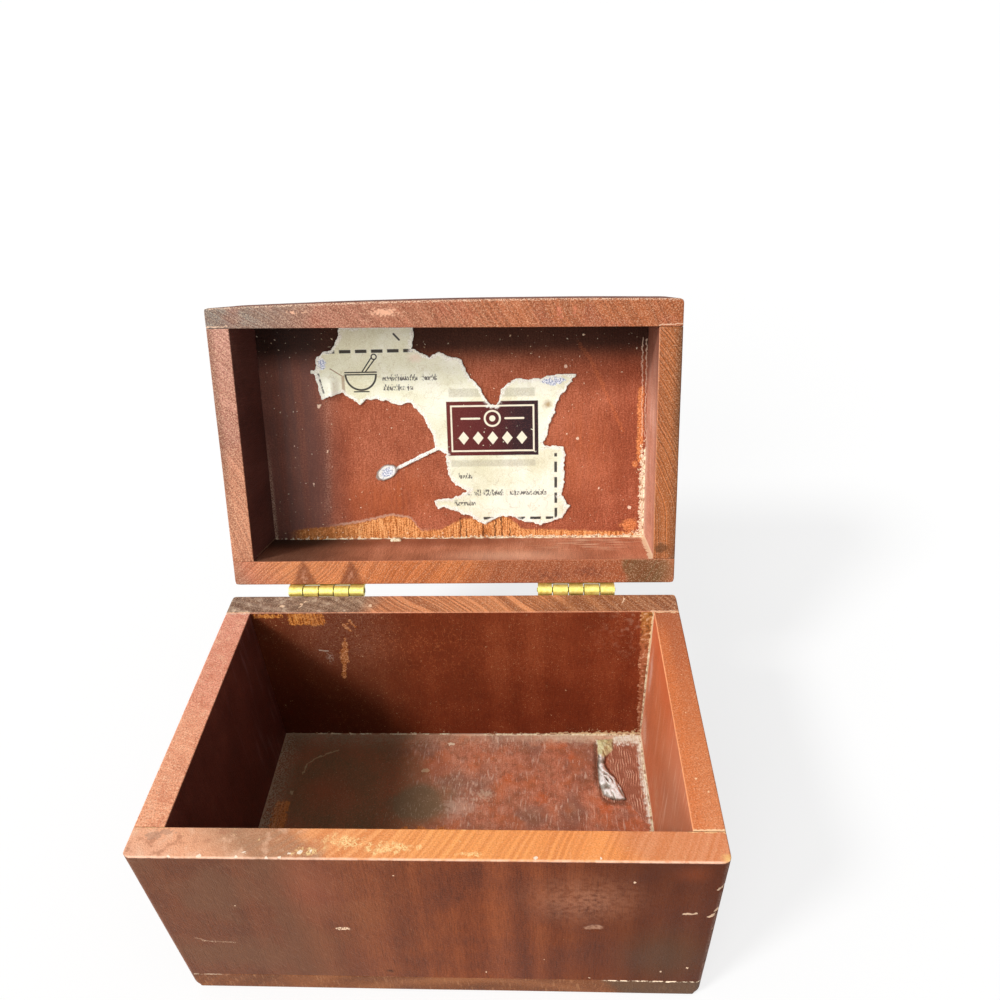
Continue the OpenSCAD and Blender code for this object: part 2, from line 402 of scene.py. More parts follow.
# %% [markdown]
# Old wood is never quite flat or sharp. Hand sanding leaves a slow waviness of a few hundredths of
# a millimetre, and knocks leave chips along the edges. Both only ever take wood away, so the board
# stays inside its solid: each point moves inwards along the surface's own normal.

# %% Wear in the shape of a board
def surface_normals(points, quads):
    """Outward unit normals: the sum of the cross products of each quad's diagonals at its corners."""
    diagonal_a = points[quads[:, 2]] - points[quads[:, 0]]
    diagonal_b = points[quads[:, 3]] - points[quads[:, 1]]
    facing = np.cross(diagonal_a, diagonal_b)
    normals = np.zeros_like(points)
    for corner in range(4):
        np.add.at(normals, quads[:, corner], facing)
    return normals / np.maximum(np.linalg.norm(normals, axis=1, keepdims=True), 1e-9)


def slow_waves(points, seed, depth):
    """A waviness from 0 to depth: the mean of three slanting sine waves some 30 to 60 mm long."""
    chance = np.random.default_rng(seed)
    total = np.zeros(len(points))
    for length in (61.0, 43.0, 31.0):
        direction = chance.normal(size=3)
        direction /= np.linalg.norm(direction)
        total += np.sin(points @ direction * 2 * math.pi / length + chance.uniform(0, 6))
    return depth * (0.5 + total / 6)


def chip_depth(points, chips):
    """Depth of the chips: depth x (1 - (distance / reach) squared) squared around each place."""
    total = np.zeros(len(points))
    for place, reach, depth in chips:
        share = np.linalg.norm(points - np.array(place), axis=1) / reach
        total = np.maximum(total, depth * np.clip(1 - share ** 2, 0, 1) ** 2)
    return total


# %% [markdown]
# Ten boards make the box, and they share their outer radii: small upright corners, a larger round
# at the ends of the bottom and the top, and a rim that is barely eased. Where two boards meet, both
# edges are eased by a fifth of a millimetre, and that leaves the fine line of the glued joint.

# %% Make a board
CORNER = 2.2
LID_CORNER = 1.6
END_ROUND = 4.0
LONG_ROUND = 2.0
RIM = 0.6
SEAM = 0.18
INNER = 0.3
WAVE_DEPTH = 0.09


def add_mesh(name, points, faces):
    """A new object at the origin from points in millimetres and lists of the faces' corners."""
    mesh = bpy.data.meshes.new(name)
    mesh.from_pydata((points * MM).tolist(), [], faces)
    mesh.shade_smooth()
    return add_object(name, mesh)


def make_board(node, plan, side, end, seed, chips=(), bend=None):
    """A worn board in place of a solid. plan, side and end are the radii of the edges along Z (by
    x, y), along Y (by x, z) and along X (by y, z). bend moves the points of the closed lid."""
    low, high = shut_box(node)
    if bend:
        low, high = bend.straight(low, high)
    radii = [{r for pair in group for r in pair if r} for group in (plan, side, end)]
    along = ((0, 1), (0, 2), (1, 2))
    lines = []
    for axis, groups in enumerate(along):
        meets = set().union(*[radii[g] for g in groups])
        nearby = [(place[axis], reach) for place, reach, _ in chips]
        lines.append(rulings(low[axis], high[axis], meets, nearby))
    points, quads = closed_grid(*lines)
    points = ease(points, low, high, 0, 1, plan)
    points = ease(points, low, high, 0, 2, side)
    points = ease(points, low, high, 1, 2, end)
    if bend:
        points = bend.apply(points, low, high)
    depth = slow_waves(points, seed, WAVE_DEPTH)
    depth = np.maximum(depth, chip_depth(points, chips))
    points = points - surface_normals(points, quads) * depth[:, None]
    body = frame["nodes"][node]["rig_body"]
    if body == "lid":
        points = turn_about_pin(points, OPEN)
    board = add_mesh("worn_" + node, points, quads.tolist())
    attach(board, body)
    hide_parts(node)
    print(board.name, len(points), "points", len(quads), "quads")
    return board


# %% [markdown]
# The four upright boards of the base stand on the bottom board. The front and back run the full
# width and the sides fit between them, so only the front and back have the round outer corners.

# %% Boards of the base
FRONT_Y = shut_box("base_front_board")[0][1]
RIM_Z = shut_box("base_front_board")[1][2]
HALF_W = shut_box("base_front_board")[1][0]
rim_chips = [(-63.9, 0.8, 0.22), (-46.5, 0.8, 0.2), (-35.6, 0.8, 0.2), (12, 0.9, 0.15)]
side_chips = [(60.9, 1.6, 0.5), (48.8, 1.3, 0.4), (39.8, 1.1, 0.35), (22, 0.9, 0.3)]
front_chips = [((x, FRONT_Y, RIM_Z), reach, depth) for x, reach, depth in rim_chips]
front_chips += [((HALF_W - 0.7, FRONT_Y + 0.7, z), reach, depth) for z, reach, depth in side_chips]
front_chips.append(((43.4, FRONT_Y, 40.8), 3.0, 0.25))
boards = {}
boards["front"] = make_board(
    "base_front_board", plan=((CORNER, SEAM), (CORNER, SEAM)), side=((SEAM, RIM), (SEAM, RIM)),
    end=((SEAM, RIM), (SEAM, INNER)), seed=11, chips=front_chips)
boards["back"] = make_board(
    "base_back_board", plan=((SEAM, CORNER), (SEAM, CORNER)), side=((SEAM, RIM), (SEAM, RIM)),
    end=((SEAM, INNER), (SEAM, RIM)), seed=12)
boards["left"] = make_board(
    "base_left_board", plan=((SEAM, SEAM), (SEAM, SEAM)), side=((SEAM, RIM), (SEAM, INNER)),
    end=((SEAM, SEAM), (SEAM, SEAM)), seed=13)
boards["right"] = make_board(
    "base_right_board", plan=((SEAM, SEAM), (SEAM, SEAM)), side=((SEAM, INNER), (SEAM, RIM)),
    end=((SEAM, SEAM), (SEAM, SEAM)), seed=14)
boards["bottom"] = make_board(
    "base_bottom_board", plan=((CORNER, CORNER), (CORNER, CORNER)),
    side=((END_ROUND, SEAM), (END_ROUND, SEAM)), end=((LONG_ROUND, SEAM), (LONG_ROUND, SEAM)), seed=15)

# %% [markdown]
# The lid's front rail is a wedge, thinner at its left end, and its outside was sanded to a shallow
# curve. A straight board is made first and then sheared: a point at the front moves by the curve, a
# point at the back by the slant, and what lies between by its share of both.

# %% Wedge and crown of the lid's front
rail_points = node_points("lid_front_rail")
half_lid = rail_points[:, 0].max()
at_left = rail_points[:, 0] < -half_lid + 1
at_right = rail_points[:, 0] > half_lid - 1
front_middle = rail_points[:, 1].min() + 0.002
slant_left = rail_points[at_left, 1].max()
slant_right = rail_points[at_right, 1].max()
CROWN = 1.0
print("crowned front at", round(front_middle, 2), "slant", round(slant_left, 2), round(slant_right, 2))


def crown_at(x):
    """How far the front lies behind its middle: crown x (distance from the middle / half width) squared."""
    return CROWN * (x / (half_lid - LID_CORNER)) ** 2


def slant_at(x):
    """Depth of the rail's inner face, which runs straight from its left end to its right end."""
    return slant_left + (slant_right - slant_left) * (x + half_lid) / (2 * half_lid)


class Shear:
    """Moves a straight board's front and back faces to curves: front(x) and back(x) give the moves
    at the two faces, from the straight depths that the board is made with."""

    def __init__(self, front, back, front_y=None, back_y=None):
        self.front = front
        self.back = back
        self.front_y = front_y
        self.back_y = back_y

    def straight(self, low, high):
        low, high = low.copy(), high.copy()
        low[1] = low[1] if self.front_y is None else self.front_y
        high[1] = high[1] if self.back_y is None else self.back_y
        return low, high

    def apply(self, points, low, high):
        share = (points[:, 1] - low[1]) / (high[1] - low[1])
        x = points[:, 0]
        points[:, 1] += (1 - share) * self.front(x) + share * self.back(x)
        return points


def no_move(x):
    return 0 * x


wedge = Shear(crown_at, lambda x: slant_at(x) - slant_right, front_y=front_middle, back_y=slant_right)
crowned = Shear(crown_at, no_move)
cut_left = Shear(lambda x: slant_at(x) - slant_left, no_move, front_y=slant_left)
cut_right = Shear(lambda x: slant_at(x) - slant_right, no_move, front_y=slant_right)

# %% [markdown]
# The lid's five boards are made like the base's. The top panel lies over the rails, and it carries
# the large round at its left and right ends.

# %% Boards of the lid
boards["lid_front"] = make_board(
    "lid_front_rail", plan=((LID_CORNER, SEAM), (LID_CORNER, SEAM)), side=((RIM, SEAM), (RIM, SEAM)),
    end=((RIM, SEAM), (INNER, SEAM)), seed=21, bend=wedge)
boards["lid_back"] = make_board(
    "lid_back_rail", plan=((SEAM, LID_CORNER), (SEAM, LID_CORNER)), side=((RIM, SEAM), (RIM, SEAM)),
    end=((INNER, SEAM), (RIM, SEAM)), seed=22)
boards["lid_left"] = make_board(
    "lid_left_rail", plan=((SEAM, SEAM), (SEAM, SEAM)), side=((RIM, SEAM), (INNER, SEAM)),
    end=((SEAM, SEAM), (SEAM, SEAM)), seed=23, bend=cut_left)
boards["lid_right"] = make_board(
    "lid_right_rail", plan=((SEAM, SEAM), (SEAM, SEAM)), side=((INNER, SEAM), (RIM, SEAM)),
    end=((SEAM, SEAM), (SEAM, SEAM)), seed=24, bend=cut_right)
boards["panel"] = make_board(
    "lid_top_panel", plan=((LID_CORNER, LID_CORNER), (LID_CORNER, LID_CORNER)),
    side=((SEAM, END_ROUND), (SEAM, END_ROUND)), end=((SEAM, LONG_ROUND), (SEAM, LONG_ROUND)), seed=25,
    bend=crowned)

# %% [markdown]
# Every finish starts from the same few fields: where a point is, in the millimetres of the closed
# box, and some soft noise. Wear is drawn on them with simple masks. A blot is an ellipse, a block a
# rectangle, and a stroke the part of a face near a line. Real marks have crumbling edges, so the
# coordinates under the masks are shaken a little, and `flaked` eats a mask away with fine noise.

# %% Place fields and marks
def noise(place, size, detail=2.0, stretch=None, out=0):
    """Soft noise from 0 to 1 whose blobs are about `size` millimetres wide."""
    if stretch:
        place = place.vector("MULTIPLY", stretch)
    return place.node("ShaderNodeTexNoise", None, {"Vector": place, "Scale": 1 / size, "Detail": detail}, out)


def join(a, b, c=0.0):
    """A vector field of two or three numbers."""
    return a.node("ShaderNodeCombineXYZ", None, {"X": a, "Y": b, "Z": c})


def ramp(value, *stops):
    """A colour ramp on a value: pairs of a position and a 0 to 255 colour."""
    linear = [(place, rgb(*colour)) for place, colour in stops]
    return value.node("ShaderNodeValToRGB", {"stops": linear}, {"Fac": value})


BACK_Y = shut_box("base_back_board")[1][1]
LID_Z = shut_box("lid_back_rail")[0][2]
RAGGED = 0.8


class Surface:
    """The place fields of one piece and its material. Two more letters serve the lid: f is the
    distance from its back, and w the height above its rim."""

    def __init__(self, name, on_lid=False):
        self.material, self.shader = new_material(name)
        self.on_lid = on_lid
        here = add_node(self.material.node_tree, "ShaderNodeTexCoord", out=3)
        turned = Matrix.Rotation(OPEN, 3, "X")
        shift = Vector(PIN) - turned @ Vector(PIN) if on_lid else Vector((0, 0, 0))
        sockets = {"Vector": here, "Location": shift, "Scale": (1 / MM, 1 / MM, 1 / MM)}
        sockets["Rotation"] = (OPEN if on_lid else 0, 0, 0)
        self.place = here.node("ShaderNodeMapping", {"vector_type": "POINT"}, sockets)
        self.x, self.y, self.z = self.place.parts()
        stray = noise(self.place, 1.3, 4, out=1).vector("SUBTRACT", (0.5, 0.5, 0.5))
        shaken = self.place.vector("ADD", stray.vector("SCALE", scale=2 * RAGGED))
        self.loose = self.letters(*shaken.parts())
        self.exact = self.letters(self.x, self.y, self.z)
        self.f = self.exact["f"]
        self.crumb = noise(self.place, 1.2, 4)
        self.mottle = noise(self.place, 15, 2).rise(0.3, 0.7)
        self.speck = noise(self.place, 0.32, 2).rise(0.3, 0.7)
        self.grain = noise(self.place, 0.48, 2).rise(0.3, 0.7)
        self.flecks = noise(self.place, 0.36, 2).rise(0.62, 0.74)

    def letters(self, x, y, z):
        """Fields by their letters, with the lid's two."""
        return {"x": x, "y": y, "z": z, "f": BACK_Y - y, "w": z - LID_Z}

    def spot(self, plane, fields=None):
        """Two coordinates on one face, from their two letters: shaken, or the exact fields."""
        fields = fields or self.loose
        return join(fields[plane[0]], fields[plane[1]])

    def stored(self, name):
        """The number that the mesh keeps for each of its points under a name."""
        return add_node(self.material.node_tree, "ShaderNodeAttribute", {"attribute_name": name}, out=2)

    def flaked(self, mask, rough=1.6, low=0.44, high=0.62):
        """A mask eaten away by fine noise: mask + (noise - 1/2) x rough, which rises from low to high."""
        return (mask + (self.crumb - 0.5) * rough).rise(low, high)


def blot(spot, centre, radii, soft=1.0):
    """Mask of an ellipse: the distance from its centre in radii falls from 1 to 1 - soft."""
    radii = radii if isinstance(radii, tuple) else (radii, radii)
    moved = spot.vector("SUBTRACT", (*centre, 0))
    scaled = moved.vector("MULTIPLY", (1 / radii[0], 1 / radii[1], 0))
    return scaled.vector("LENGTH", out=1).rise(1, 1 - soft)


def block(spot, centre, half, soft=0.3):
    """Mask of a rectangle, from its centre and its half sides, `soft` millimetres blurred."""
    away = spot.vector("SUBTRACT", (*centre, 0)).vector("ABSOLUTE")
    across, up, _ = away.parts()
    return across.rise(half[0], half[0] - soft) * up.rise(half[1], half[1] - soft)


def stroke(spot, start, end, width, soft=1.0):
    """Mask of a line: the distance to its nearest point, start + t x (end - start) for t from 0
    to 1, falls from half the width to nothing."""
    run = Vector((end[0] - start[0], end[1] - start[1], 0))
    moved = spot.vector("SUBTRACT", (*start, 0))
    share = moved.vector("DOT_PRODUCT", tuple(run / run.length_squared), out=1).clip()
    along = add_node(spot.tree, "ShaderNodeVectorMath", {"operation": "SCALE"},
                     {0: tuple(run), "Scale": share})
    distance = moved.vector("SUBTRACT", along).vector("LENGTH", out=1)
    return distance.rise(width / 2, width / 2 * (1 - soft))


def loop(spot, centre, radius, width):
    """Mask of a ring: the distance from its centre is near the radius."""
    distance = spot.vector("SUBTRACT", (*centre, 0)).vector("LENGTH", out=1)
    return abs(distance - radius).rise(width / 2, width / 4)


def most(*masks):
    """The largest of several masks."""
    total = masks[0]
    for mask in masks[1:]:
        total = total.math("MAXIMUM", mask)
    return total


def blots(spot, *places, soft=1.0):
    """One mask of several round blots, each an x, a y and a radius."""
    return most(*[blot(spot, (a, b), radius, soft) for a, b, radius in places])


def strokes(spot, width, *places):
    """One mask of several lines, each the two numbers of its start and the two of its end."""
    return most(*[stroke(spot, place[:2], place[2:], width, 0.5) for place in places])


# %% [markdown]
# All the wood shares one more set of patterns. A tree is a bundle of fibres round its heart, so one
# point is chosen as the heart of each board's tree. The distance from that point gives the growth
# rings: they run across a sawn rim as slanting lines and up a face as soft bands, with no further
# work. Fibres and pores are noise stretched along the grain.

# %% Patterns of the wood
class Timber(Surface):
    """A board's place fields with the rings, fibres and pores of its tree."""

    def __init__(self, name, heart, fibre="z", on_lid=False, ring_step=0.75):
        super().__init__(name, on_lid)
        along, other = (self.z, self.y) if fibre == "z" else (self.y, self.z)
        squeeze = (1, 1, 0.07) if fibre == "z" else (1, 0.07, 1)
        wander = noise(self.place, 34, 1, squeeze) - 0.5
        ring = join(self.x - heart[0], other - heart[1]).vector("LENGTH", out=1) + wander * 9
        lane = join(ring, along * 0.018)
        self.bands = noise(lane, 7, 1).rise(0.3, 0.7)
        self.lines = noise(lane, ring_step, 2).rise(0.36, 0.64)
        self.fibres = noise(self.place, 0.4, 2, squeeze).rise(0.3, 0.7)
        self.pores = noise(self.place, 0.28, 0, squeeze).rise(0.66, 0.76)


# %% [markdown]
# Every board is stained mahogany with the same three finishes: a varnished face, a bare sawn rim
# that is paler and shows the rings, and pale worn edges. `face` and `rim` give the first two, and
# `worn_outside` dresses the outer faces that the picture doesn't show. Then each board's own
# function adds its stains and marks, and `finish` wires the result to the shader.

# %% Finishes of the wood
SHEEN = 0.05
DARK = (90, 43, 24)
MIDDLE = (118, 59, 33)
LIGHT = (142, 76, 43)
PALE = (240, 206, 172)
WHITE = (252, 236, 214)
BLACK = (38, 24, 20)
LID_TOP = shut_box("lid_top_panel")[1][2]


def face(t, dark, middle, light, banding=0.28, grain=0.2):
    """Stained and varnished wood: bands of the rings, streaks of the fibres, grains and pores."""
    rest = t.fibres * 0.12 + t.mottle * 0.2 + t.speck * 0.12 + t.grain * grain
    tone = t.bands * banding + rest + (0.56 - banding - grain) * 0.5
    colour = ramp(tone, (0.22, dark), (0.5, middle), (0.78, light))
    return colour.mix(t.pores * 0.2, [c * 0.5 for c in dark])


def rim(t, colour, ring_colour, strength=0.45, grit=0.34, pits=0.4):
    """A sawn rim: a base colour crossed by the ring lines, with dark pits and pale grit."""
    lined = colour.mix(t.lines * strength, ring_colour)
    pitted = lined.mix(t.grain.rise(0.5, 0.0, 0, pits), [c * 0.75 for c in ring_colour])
    return pitted.mix((t.speck * 0.7 + t.grain * 0.3).rise(0.5, 1.0, 0, grit), (255, 218, 180))


def arris(first, second, width=0.75):
    """Mask of an edge where two faces meet: the sum of a point's distances from both is small."""
    return (abs(first) + abs(second)).rise(width, width * 0.35)


def worn_outside(t):
    """The varnished outside of the closed base or lid: rubbed pale along its edges, a little
    scratched, and with pale specks. A point is near an edge when two of its three distances from
    the sides are small."""
    low, high = (LID_Z, LID_TOP) if t.on_lid else (0, RIM_Z)
    across = HALF_W - abs(t.x)
    deep = BACK_Y - abs(t.y)
    high_up = (t.z - low).math("MINIMUM", high - t.z)
    near = (across + deep).math("MINIMUM", across + high_up).math("MINIMUM", deep + high_up)
    uneven = noise(t.place, 5.0, 3)
    colour = face(t, DARK, MIDDLE, LIGHT).mix(uneven.rise(0.46, 0.7) * 0.35, (104, 54, 34))
    hair = noise(t.place, 0.5, 1, (0.06, 0.6, 1)).rise(0.66, 0.76) * uneven.rise(0.5, 0.62)
    colour = colour.mix(hair * 0.3, (190, 140, 108))
    rubbed = (near + (uneven - 0.5) * 3.4).rise(1.5, 0.3) * t.crumb.rise(0.36, 0.6, 0.3, 1)
    return colour.mix(most(rubbed * 0.6, t.flecks * t.crumb.rise(0.52, 0.6) * 0.6), (222, 160, 122))


def rim_mask(t):
    """Mask of a board's part of the rim, the upper one of the base or the lower one of the lid."""
    return t.z.rise(LID_Z + 0.5, LID_Z + 0.15) if t.on_lid else t.z.rise(RIM_Z - 0.5, RIM_Z - 0.15)


def inner_mask(value, face_at, wood=1):
    """Mask of an inner face. Wear has drawn the surface a little into the wood, which lies on the
    side of the larger values, or of the smaller ones where wood is -1."""
    return value.rise(face_at + wood * 0.4, face_at + wood * 0.15)


def common(t, bare):
    """Roughness and relief that all boards share: bare wood is rougher than the varnish."""
    rough = t.mottle * 0.12 + bare * 0.2 + 0.46
    height = t.speck * 0.5 - t.pores * 0.8 + t.fibres * 0.3
    return rough, height


def finish(t, colour, rough, height, bump=0.4, sheen=SHEEN, deep=0.3):
    """Wires a piece's colour, roughness, sheen and relief, `deep` millimetres high, to its shader."""
    plug(t.shader, "Base Color", colour)
    plug(t.shader, "Roughness", rough)
    plug(t.shader, "Specular IOR Level", sheen)
    sockets = {"Strength": bump, "Distance": deep * MM, "Height": height}
    plug(t.shader, "Normal", height.node("ShaderNodeBump", None, sockets))
    print(t.material.name, len(t.material.node_tree.nodes), "nodes")
    return t.material


def zones(t, value, *stops, half=HALF_W):
    """Base colours along a board, with wandering borders: a ramp on a value, from -half to half."""
    share = (value + (t.mottle - 0.5) * 6 + half) / (2 * half)
    return ramp(share, *[((place + half) / (2 * half), colour) for place, colour in stops])


# %% [markdown]
# The front of the base shows most. Its left is painted a hazy grey, a painted reflection of the
# bright room in the varnish, and it is finely scratched there. It is olive and dirty low on the
# right, and chipped along the right edge, and a dull reddish highlight is painted near the top of
# its right end. The rim above it is bare: pinkish at both ends, greyish on the left where it is worn
# in, and orange with slanting ring lines between.

# %% Front board of the base
FLOOR_Z = shut_box("base_bottom_board")[1][2]
INNER_FRONT = shut_box("base_front_board")[1][1]


def front_face(t):
    spot = t.spot("xz")
    colour = face(t, DARK, MIDDLE, LIGHT)
    # haze: grey painted over the left of the face, a painted reflection of the bright room in the varnish.
    haze = t.x.rise(12, -55) * t.mottle.rise(0, 1, 0.35, 0.75)
    clouds = blot(spot, (40, 55), (22, 17)) * t.crumb.rise(0.2, 0.7)
    turn = {"Vector": t.place, "Rotation": (0, math.radians(32), 0)}
    leaning = t.place.node("ShaderNodeMapping", None, turn)
    hair = noise(leaning, 0.26, 1, (1, 1, 0.09)).rise(0.6, 0.72)
    chalk = t.flaked(blot(spot, (-25, 38.2), (4.2, 1.7))) * t.speck.rise(0.25, 0.6)
    nick = t.flaked(most(strokes(spot, 1.1, (73.2, 47.2, 75.4, 49.6), (66.6, 48.4, 69.8, 48.8)),
                         blots(spot, (74.8, 61.4, 2.0), (75, 50.6, 1.4), (75.2, 39.8, 1.0))))
    specks = blots(spot, (52.7, 63.9, 0.45), (63.2, 15.5, 0.35), (70.5, 18.2, 0.35), (13.3, 13.7, 0.3),
                   (43.1, 10.9, 0.35), (-52, 50, 0.25), (30, 22, 0.25), (-8, 66, 0.25), soft=0.3)
    line = strokes(spot, 0.5, (-67.8, 31.7, -62.6, 29.5), (-66, 30.3, -57, 29.4)) * t.speck * 0.5
    dent = blot(spot, (43.4, 40.8), (3.1, 1.5), 0.4)
    return colour.lay(
        (haze, (106, 76, 58)),
        (blot(spot, (-30, 60), (12, 26)) * 0.35, (150, 82, 60)),
        (t.x.rise(14, 64) * 0.72, (76, 34, 15)),
        (t.x.rise(34, 60) * t.z.rise(48, 74) * 0.5, (76, 34, 17)),
        (blot(spot, (64, 25), (19, 23), 0.9) * 0.6, (82, 60, 42)),
        (clouds * 0.7, (160, 104, 76)),
        # A dull reddish painted highlight near the top of the right end.
        (blot(spot, (67, 68), (7, 6)) * 0.35, (140, 66, 32)),
        (hair * t.x.rise(25, -30, 0.02, 0.1), (200, 156, 126)),
        (most(chalk, nick * 0.6, specks * 0.8, line), PALE),
        (dent * t.crumb.rise(0.35, 0.55, 0.2, 0.7), (178, 134, 108)),
        (blot(spot, (-14.5, 13.4), 1.6) * 0.7, BLACK))


def front_rim(t):
    slanted = t.x + (t.y + 43) * 0.9
    colour = zones(t, slanted, (-76, (236, 176, 144)), (-62, (238, 172, 134)), (-52, (212, 156, 122)),
                   (-45, (178, 134, 104)), (-31, (182, 134, 102)), (-26, (242, 166, 110)),
                   (6, (252, 170, 100)), (46, (246, 158, 92)), (56, (228, 150, 104)), (76, (226, 146, 104)))
    colour = rim(t, colour, (206, 112, 56), t.x.rise(-50, -20, 0.05, 0.5), 0.14, 0.16)
    soft = noise(t.place, 3.2, 3)
    spot = t.spot("xy")
    worn = most(blot(spot, (-20, -42.6), (9, 3.6)), blot(spot, (-9, -44.4), (12, 3.0)),
                blot(spot, (-29, -45.4), (7, 1.8)), blot(spot, (12, -45.8), (9, 1.2)) * 0.7)
    scuffed = (worn + (noise(t.place, 1.6, 3) - 0.5) * 2.6).rise(0.35, 0.95) * t.speck.rise(0.1, 0.7)
    bumped = t.flaked(blots(spot, (-63.9, -47.3, 0.9), (-46.5, -47, 0.9), (-44.8, -45.8, 0.7),
                            (-30.8, -45.6, 1.1), (-35.6, -47.2, 0.9), (-33.2, -46, 0.7), (-56, -46.8, 0.9),
                            (-39, -47.2, 0.7), (-28, -45.2, 0.6), (28, -46.6, 0.8), (44, -46.6, 0.6)))
    glue = t.flaked(strokes(spot, 0.6, (66.8, -39.3, 76, -39.3), (-76, -39.2, -67, -39.3)))
    corner = blot(spot, (75.2, -46.6), (2.6, 2.2))
    grimy = t.flaked(most(blot(spot, (-69.6, -41.6), (3.6, 2.2)), blot(spot, (-67, -40.5), (6, 1.4))))
    return colour.lay(
        (soft.rise(0.52, 0.68) * t.x.rise(-20, -44) * 0.5, (240, 192, 160)),
        (soft.rise(0.46, 0.32) * t.x.rise(-34, -58) * 0.6, (176, 118, 90)),
        (scuffed * 0.75, (255, 224, 160)),
        (bumped * 0.85, WHITE),
        (glue * 0.6, (250, 208, 150)),
        (corner * 0.7, (255, 214, 134)),
        (grimy * 0.4, (150, 122, 106)))


def paint_front():
    t = Timber("front_board_finish", (-110, 45), ring_step=1.5)
    on_rim = rim_mask(t)
    inner = face(t, DARK, MIDDLE, LIGHT)
    inside = t.y.rise(INNER_FRONT - 0.5, INNER_FRONT - 0.2)
    colour = front_face(t).mix(inside, inner).mix(on_rim, front_rim(t))
    edge = arris(t.y - FRONT_Y, t.z - RIM_Z, 0.75) * noise(t.place, 2.2, 3).rise(0.3, 0.6, 0.35, 1)
    sides = arris(t.y - FRONT_Y, abs(t.x) - HALF_W, 2.0) * t.flaked(t.speck, 1.2) * 0.3
    low = arris(t.y - FRONT_Y, t.z - FLOOR_Z, 0.45) * t.crumb.rise(0.45, 0.6) * t.x.rise(42, 52, 0.12, 0.8)
    colour = colour.mix(most(edge, sides, low), (252, 206, 178))
    return finish(t, colour, *common(t, on_rim))


boards["front"].data.materials.append(paint_front())

# %% [markdown]
# The back board shows its inner wall, in thin red-brown stain. Near the left the stain has run and
# flaked: an orange patch under the rim, a drip and a few pale scrapes. To the right it is dusty, and a
# strip beside the corner was never stained. Its rim has strong ring lines and is grey on the left.

# %% Back board of the base
INNER_BACK = shut_box("base_back_board")[0][1]


def back_wall(t):
    spot = t.spot("xz")
    colour = face(t, (108, 46, 25), (136, 61, 34), (164, 84, 50), 0.16)
    gold = ramp(t.fibres * 0.45 + t.grain * 0.55, (0.2, (132, 66, 26)), (0.5, (212, 122, 48)),
                (0.8, (250, 176, 92)))
    patch = most(block(spot, (-48.8, 70.4), (7.8, 4.4), 3.0),
                 block(spot, (-61.5, 71.9), (6.2, 1.8), 1.4) * 0.6)
    run = most(stroke(spot, (-37.6, 58.6), (-38.6, 50.2), 3.4),
               stroke(spot, (-38.5, 54.6), (-38.9, 50), 4.6), stroke(spot, (-39, 50), (-40.4, 41.6), 2.6),
               stroke(spot, (-37.2, 61), (-37.6, 58), 1.6) * 0.7,
               stroke(spot, (-36.6, 67.6), (-34.6, 64.8), 1.8),
               stroke(spot, (-34.4, 69.6), (-32.8, 66.8), 1.7),
               stroke(spot, (-36.4, 68), (-34.6, 68.4), 1.2) * 0.7)
    drips = ramp(t.grain * 0.6 + t.speck * 0.4, (0.25, (150, 78, 34)), (0.55, (196, 118, 62)),
                 (0.85, (246, 184, 130)))
    smudge = blot(spot, (-43.8, 51.6), (1.9, 4.0)) * t.grain.rise(0.2, 0.8) * 0.55
    scrape = most(stroke(spot, (-47, 55.2), (-44.2, 55.0), 0.9, 0.5) * 0.8, smudge)
    hazy = t.x.rise(-12, -34) * t.x.rise(-60, -44) * t.z.rise(38, 60)
    veins = abs(noise(t.place, 3.0, 4, (1, 1, 0.6)) - 0.5).rise(0.022, 0.0)
    veins = veins * blot(spot, (-8, 56), (36, 24), 0.8) * t.grain.rise(0.2, 0.6)
    dust = most(t.x.rise(30, 60) * t.z.rise(30, 56), t.x.rise(-6, -30) * t.z.rise(34, 60),
                t.mottle * 0.5 + 0.3)
    smear = t.x.rise(44, 62) * t.z.rise(44, 66) * noise(t.place, 2.2, 3).rise(0.5, 0.7)
    over = t.loose["x"] - 66.9 + t.z * 0.048
    strip = t.flaked(over.rise(-1.6, 1.6), 1.2)
    raw = ramp(t.z / RIM_Z, (0.2, (176, 112, 82)), (0.75, (184, 112, 74)), (0.95, (190, 128, 66)))
    raw = raw.mix(t.crumb.rise(0.48, 0.36) * 0.6, (96, 58, 36))
    raw = raw.mix(t.crumb.rise(0.54, 0.66) * 0.6, (240, 204, 164))
    colour = colour.lay(
        (0.3, (120, 53, 31)),
        (t.x.rise(-8, -34) * 0.55, (104, 56, 36)),
        # Painted shade: the lower left is darkened down to the floor, where the left wall's shadow lies.
        (t.x.rise(-24, -30) * t.z.rise(50, 26) * 0.45, (84, 38, 24)),
        (t.flaked(patch, 1.5, 0.4, 0.75) * 0.9, gold),
        (t.flaked(run, 1.2, 0.22, 0.6) * 0.9, drips),
        (scrape, (206, 188, 168)),
        (hazy * t.grain.rise(0.1, 0.9) * 0.35, (146, 104, 86)),
        (veins * 0.38, (206, 122, 74)),
        (t.flecks * t.crumb.rise(0.36, 0.56) * dust, (226, 172, 124)),
        (smear * 0.4, (186, 140, 112)),
        (strip * 0.9, raw))
    corner = most(t.x.rise(66.7, 67.7), t.z.rise(11.8, 9.6) * t.x.rise(20, 52, 0.3, 1),
                  t.z.rise(15, 9.4) * t.x.rise(24, 50) * t.grain.rise(0.3, 0.9) * 0.7)
    return colour.mix(t.flaked(corner, 2.0) * 0.85, (238, 214, 170)), veins


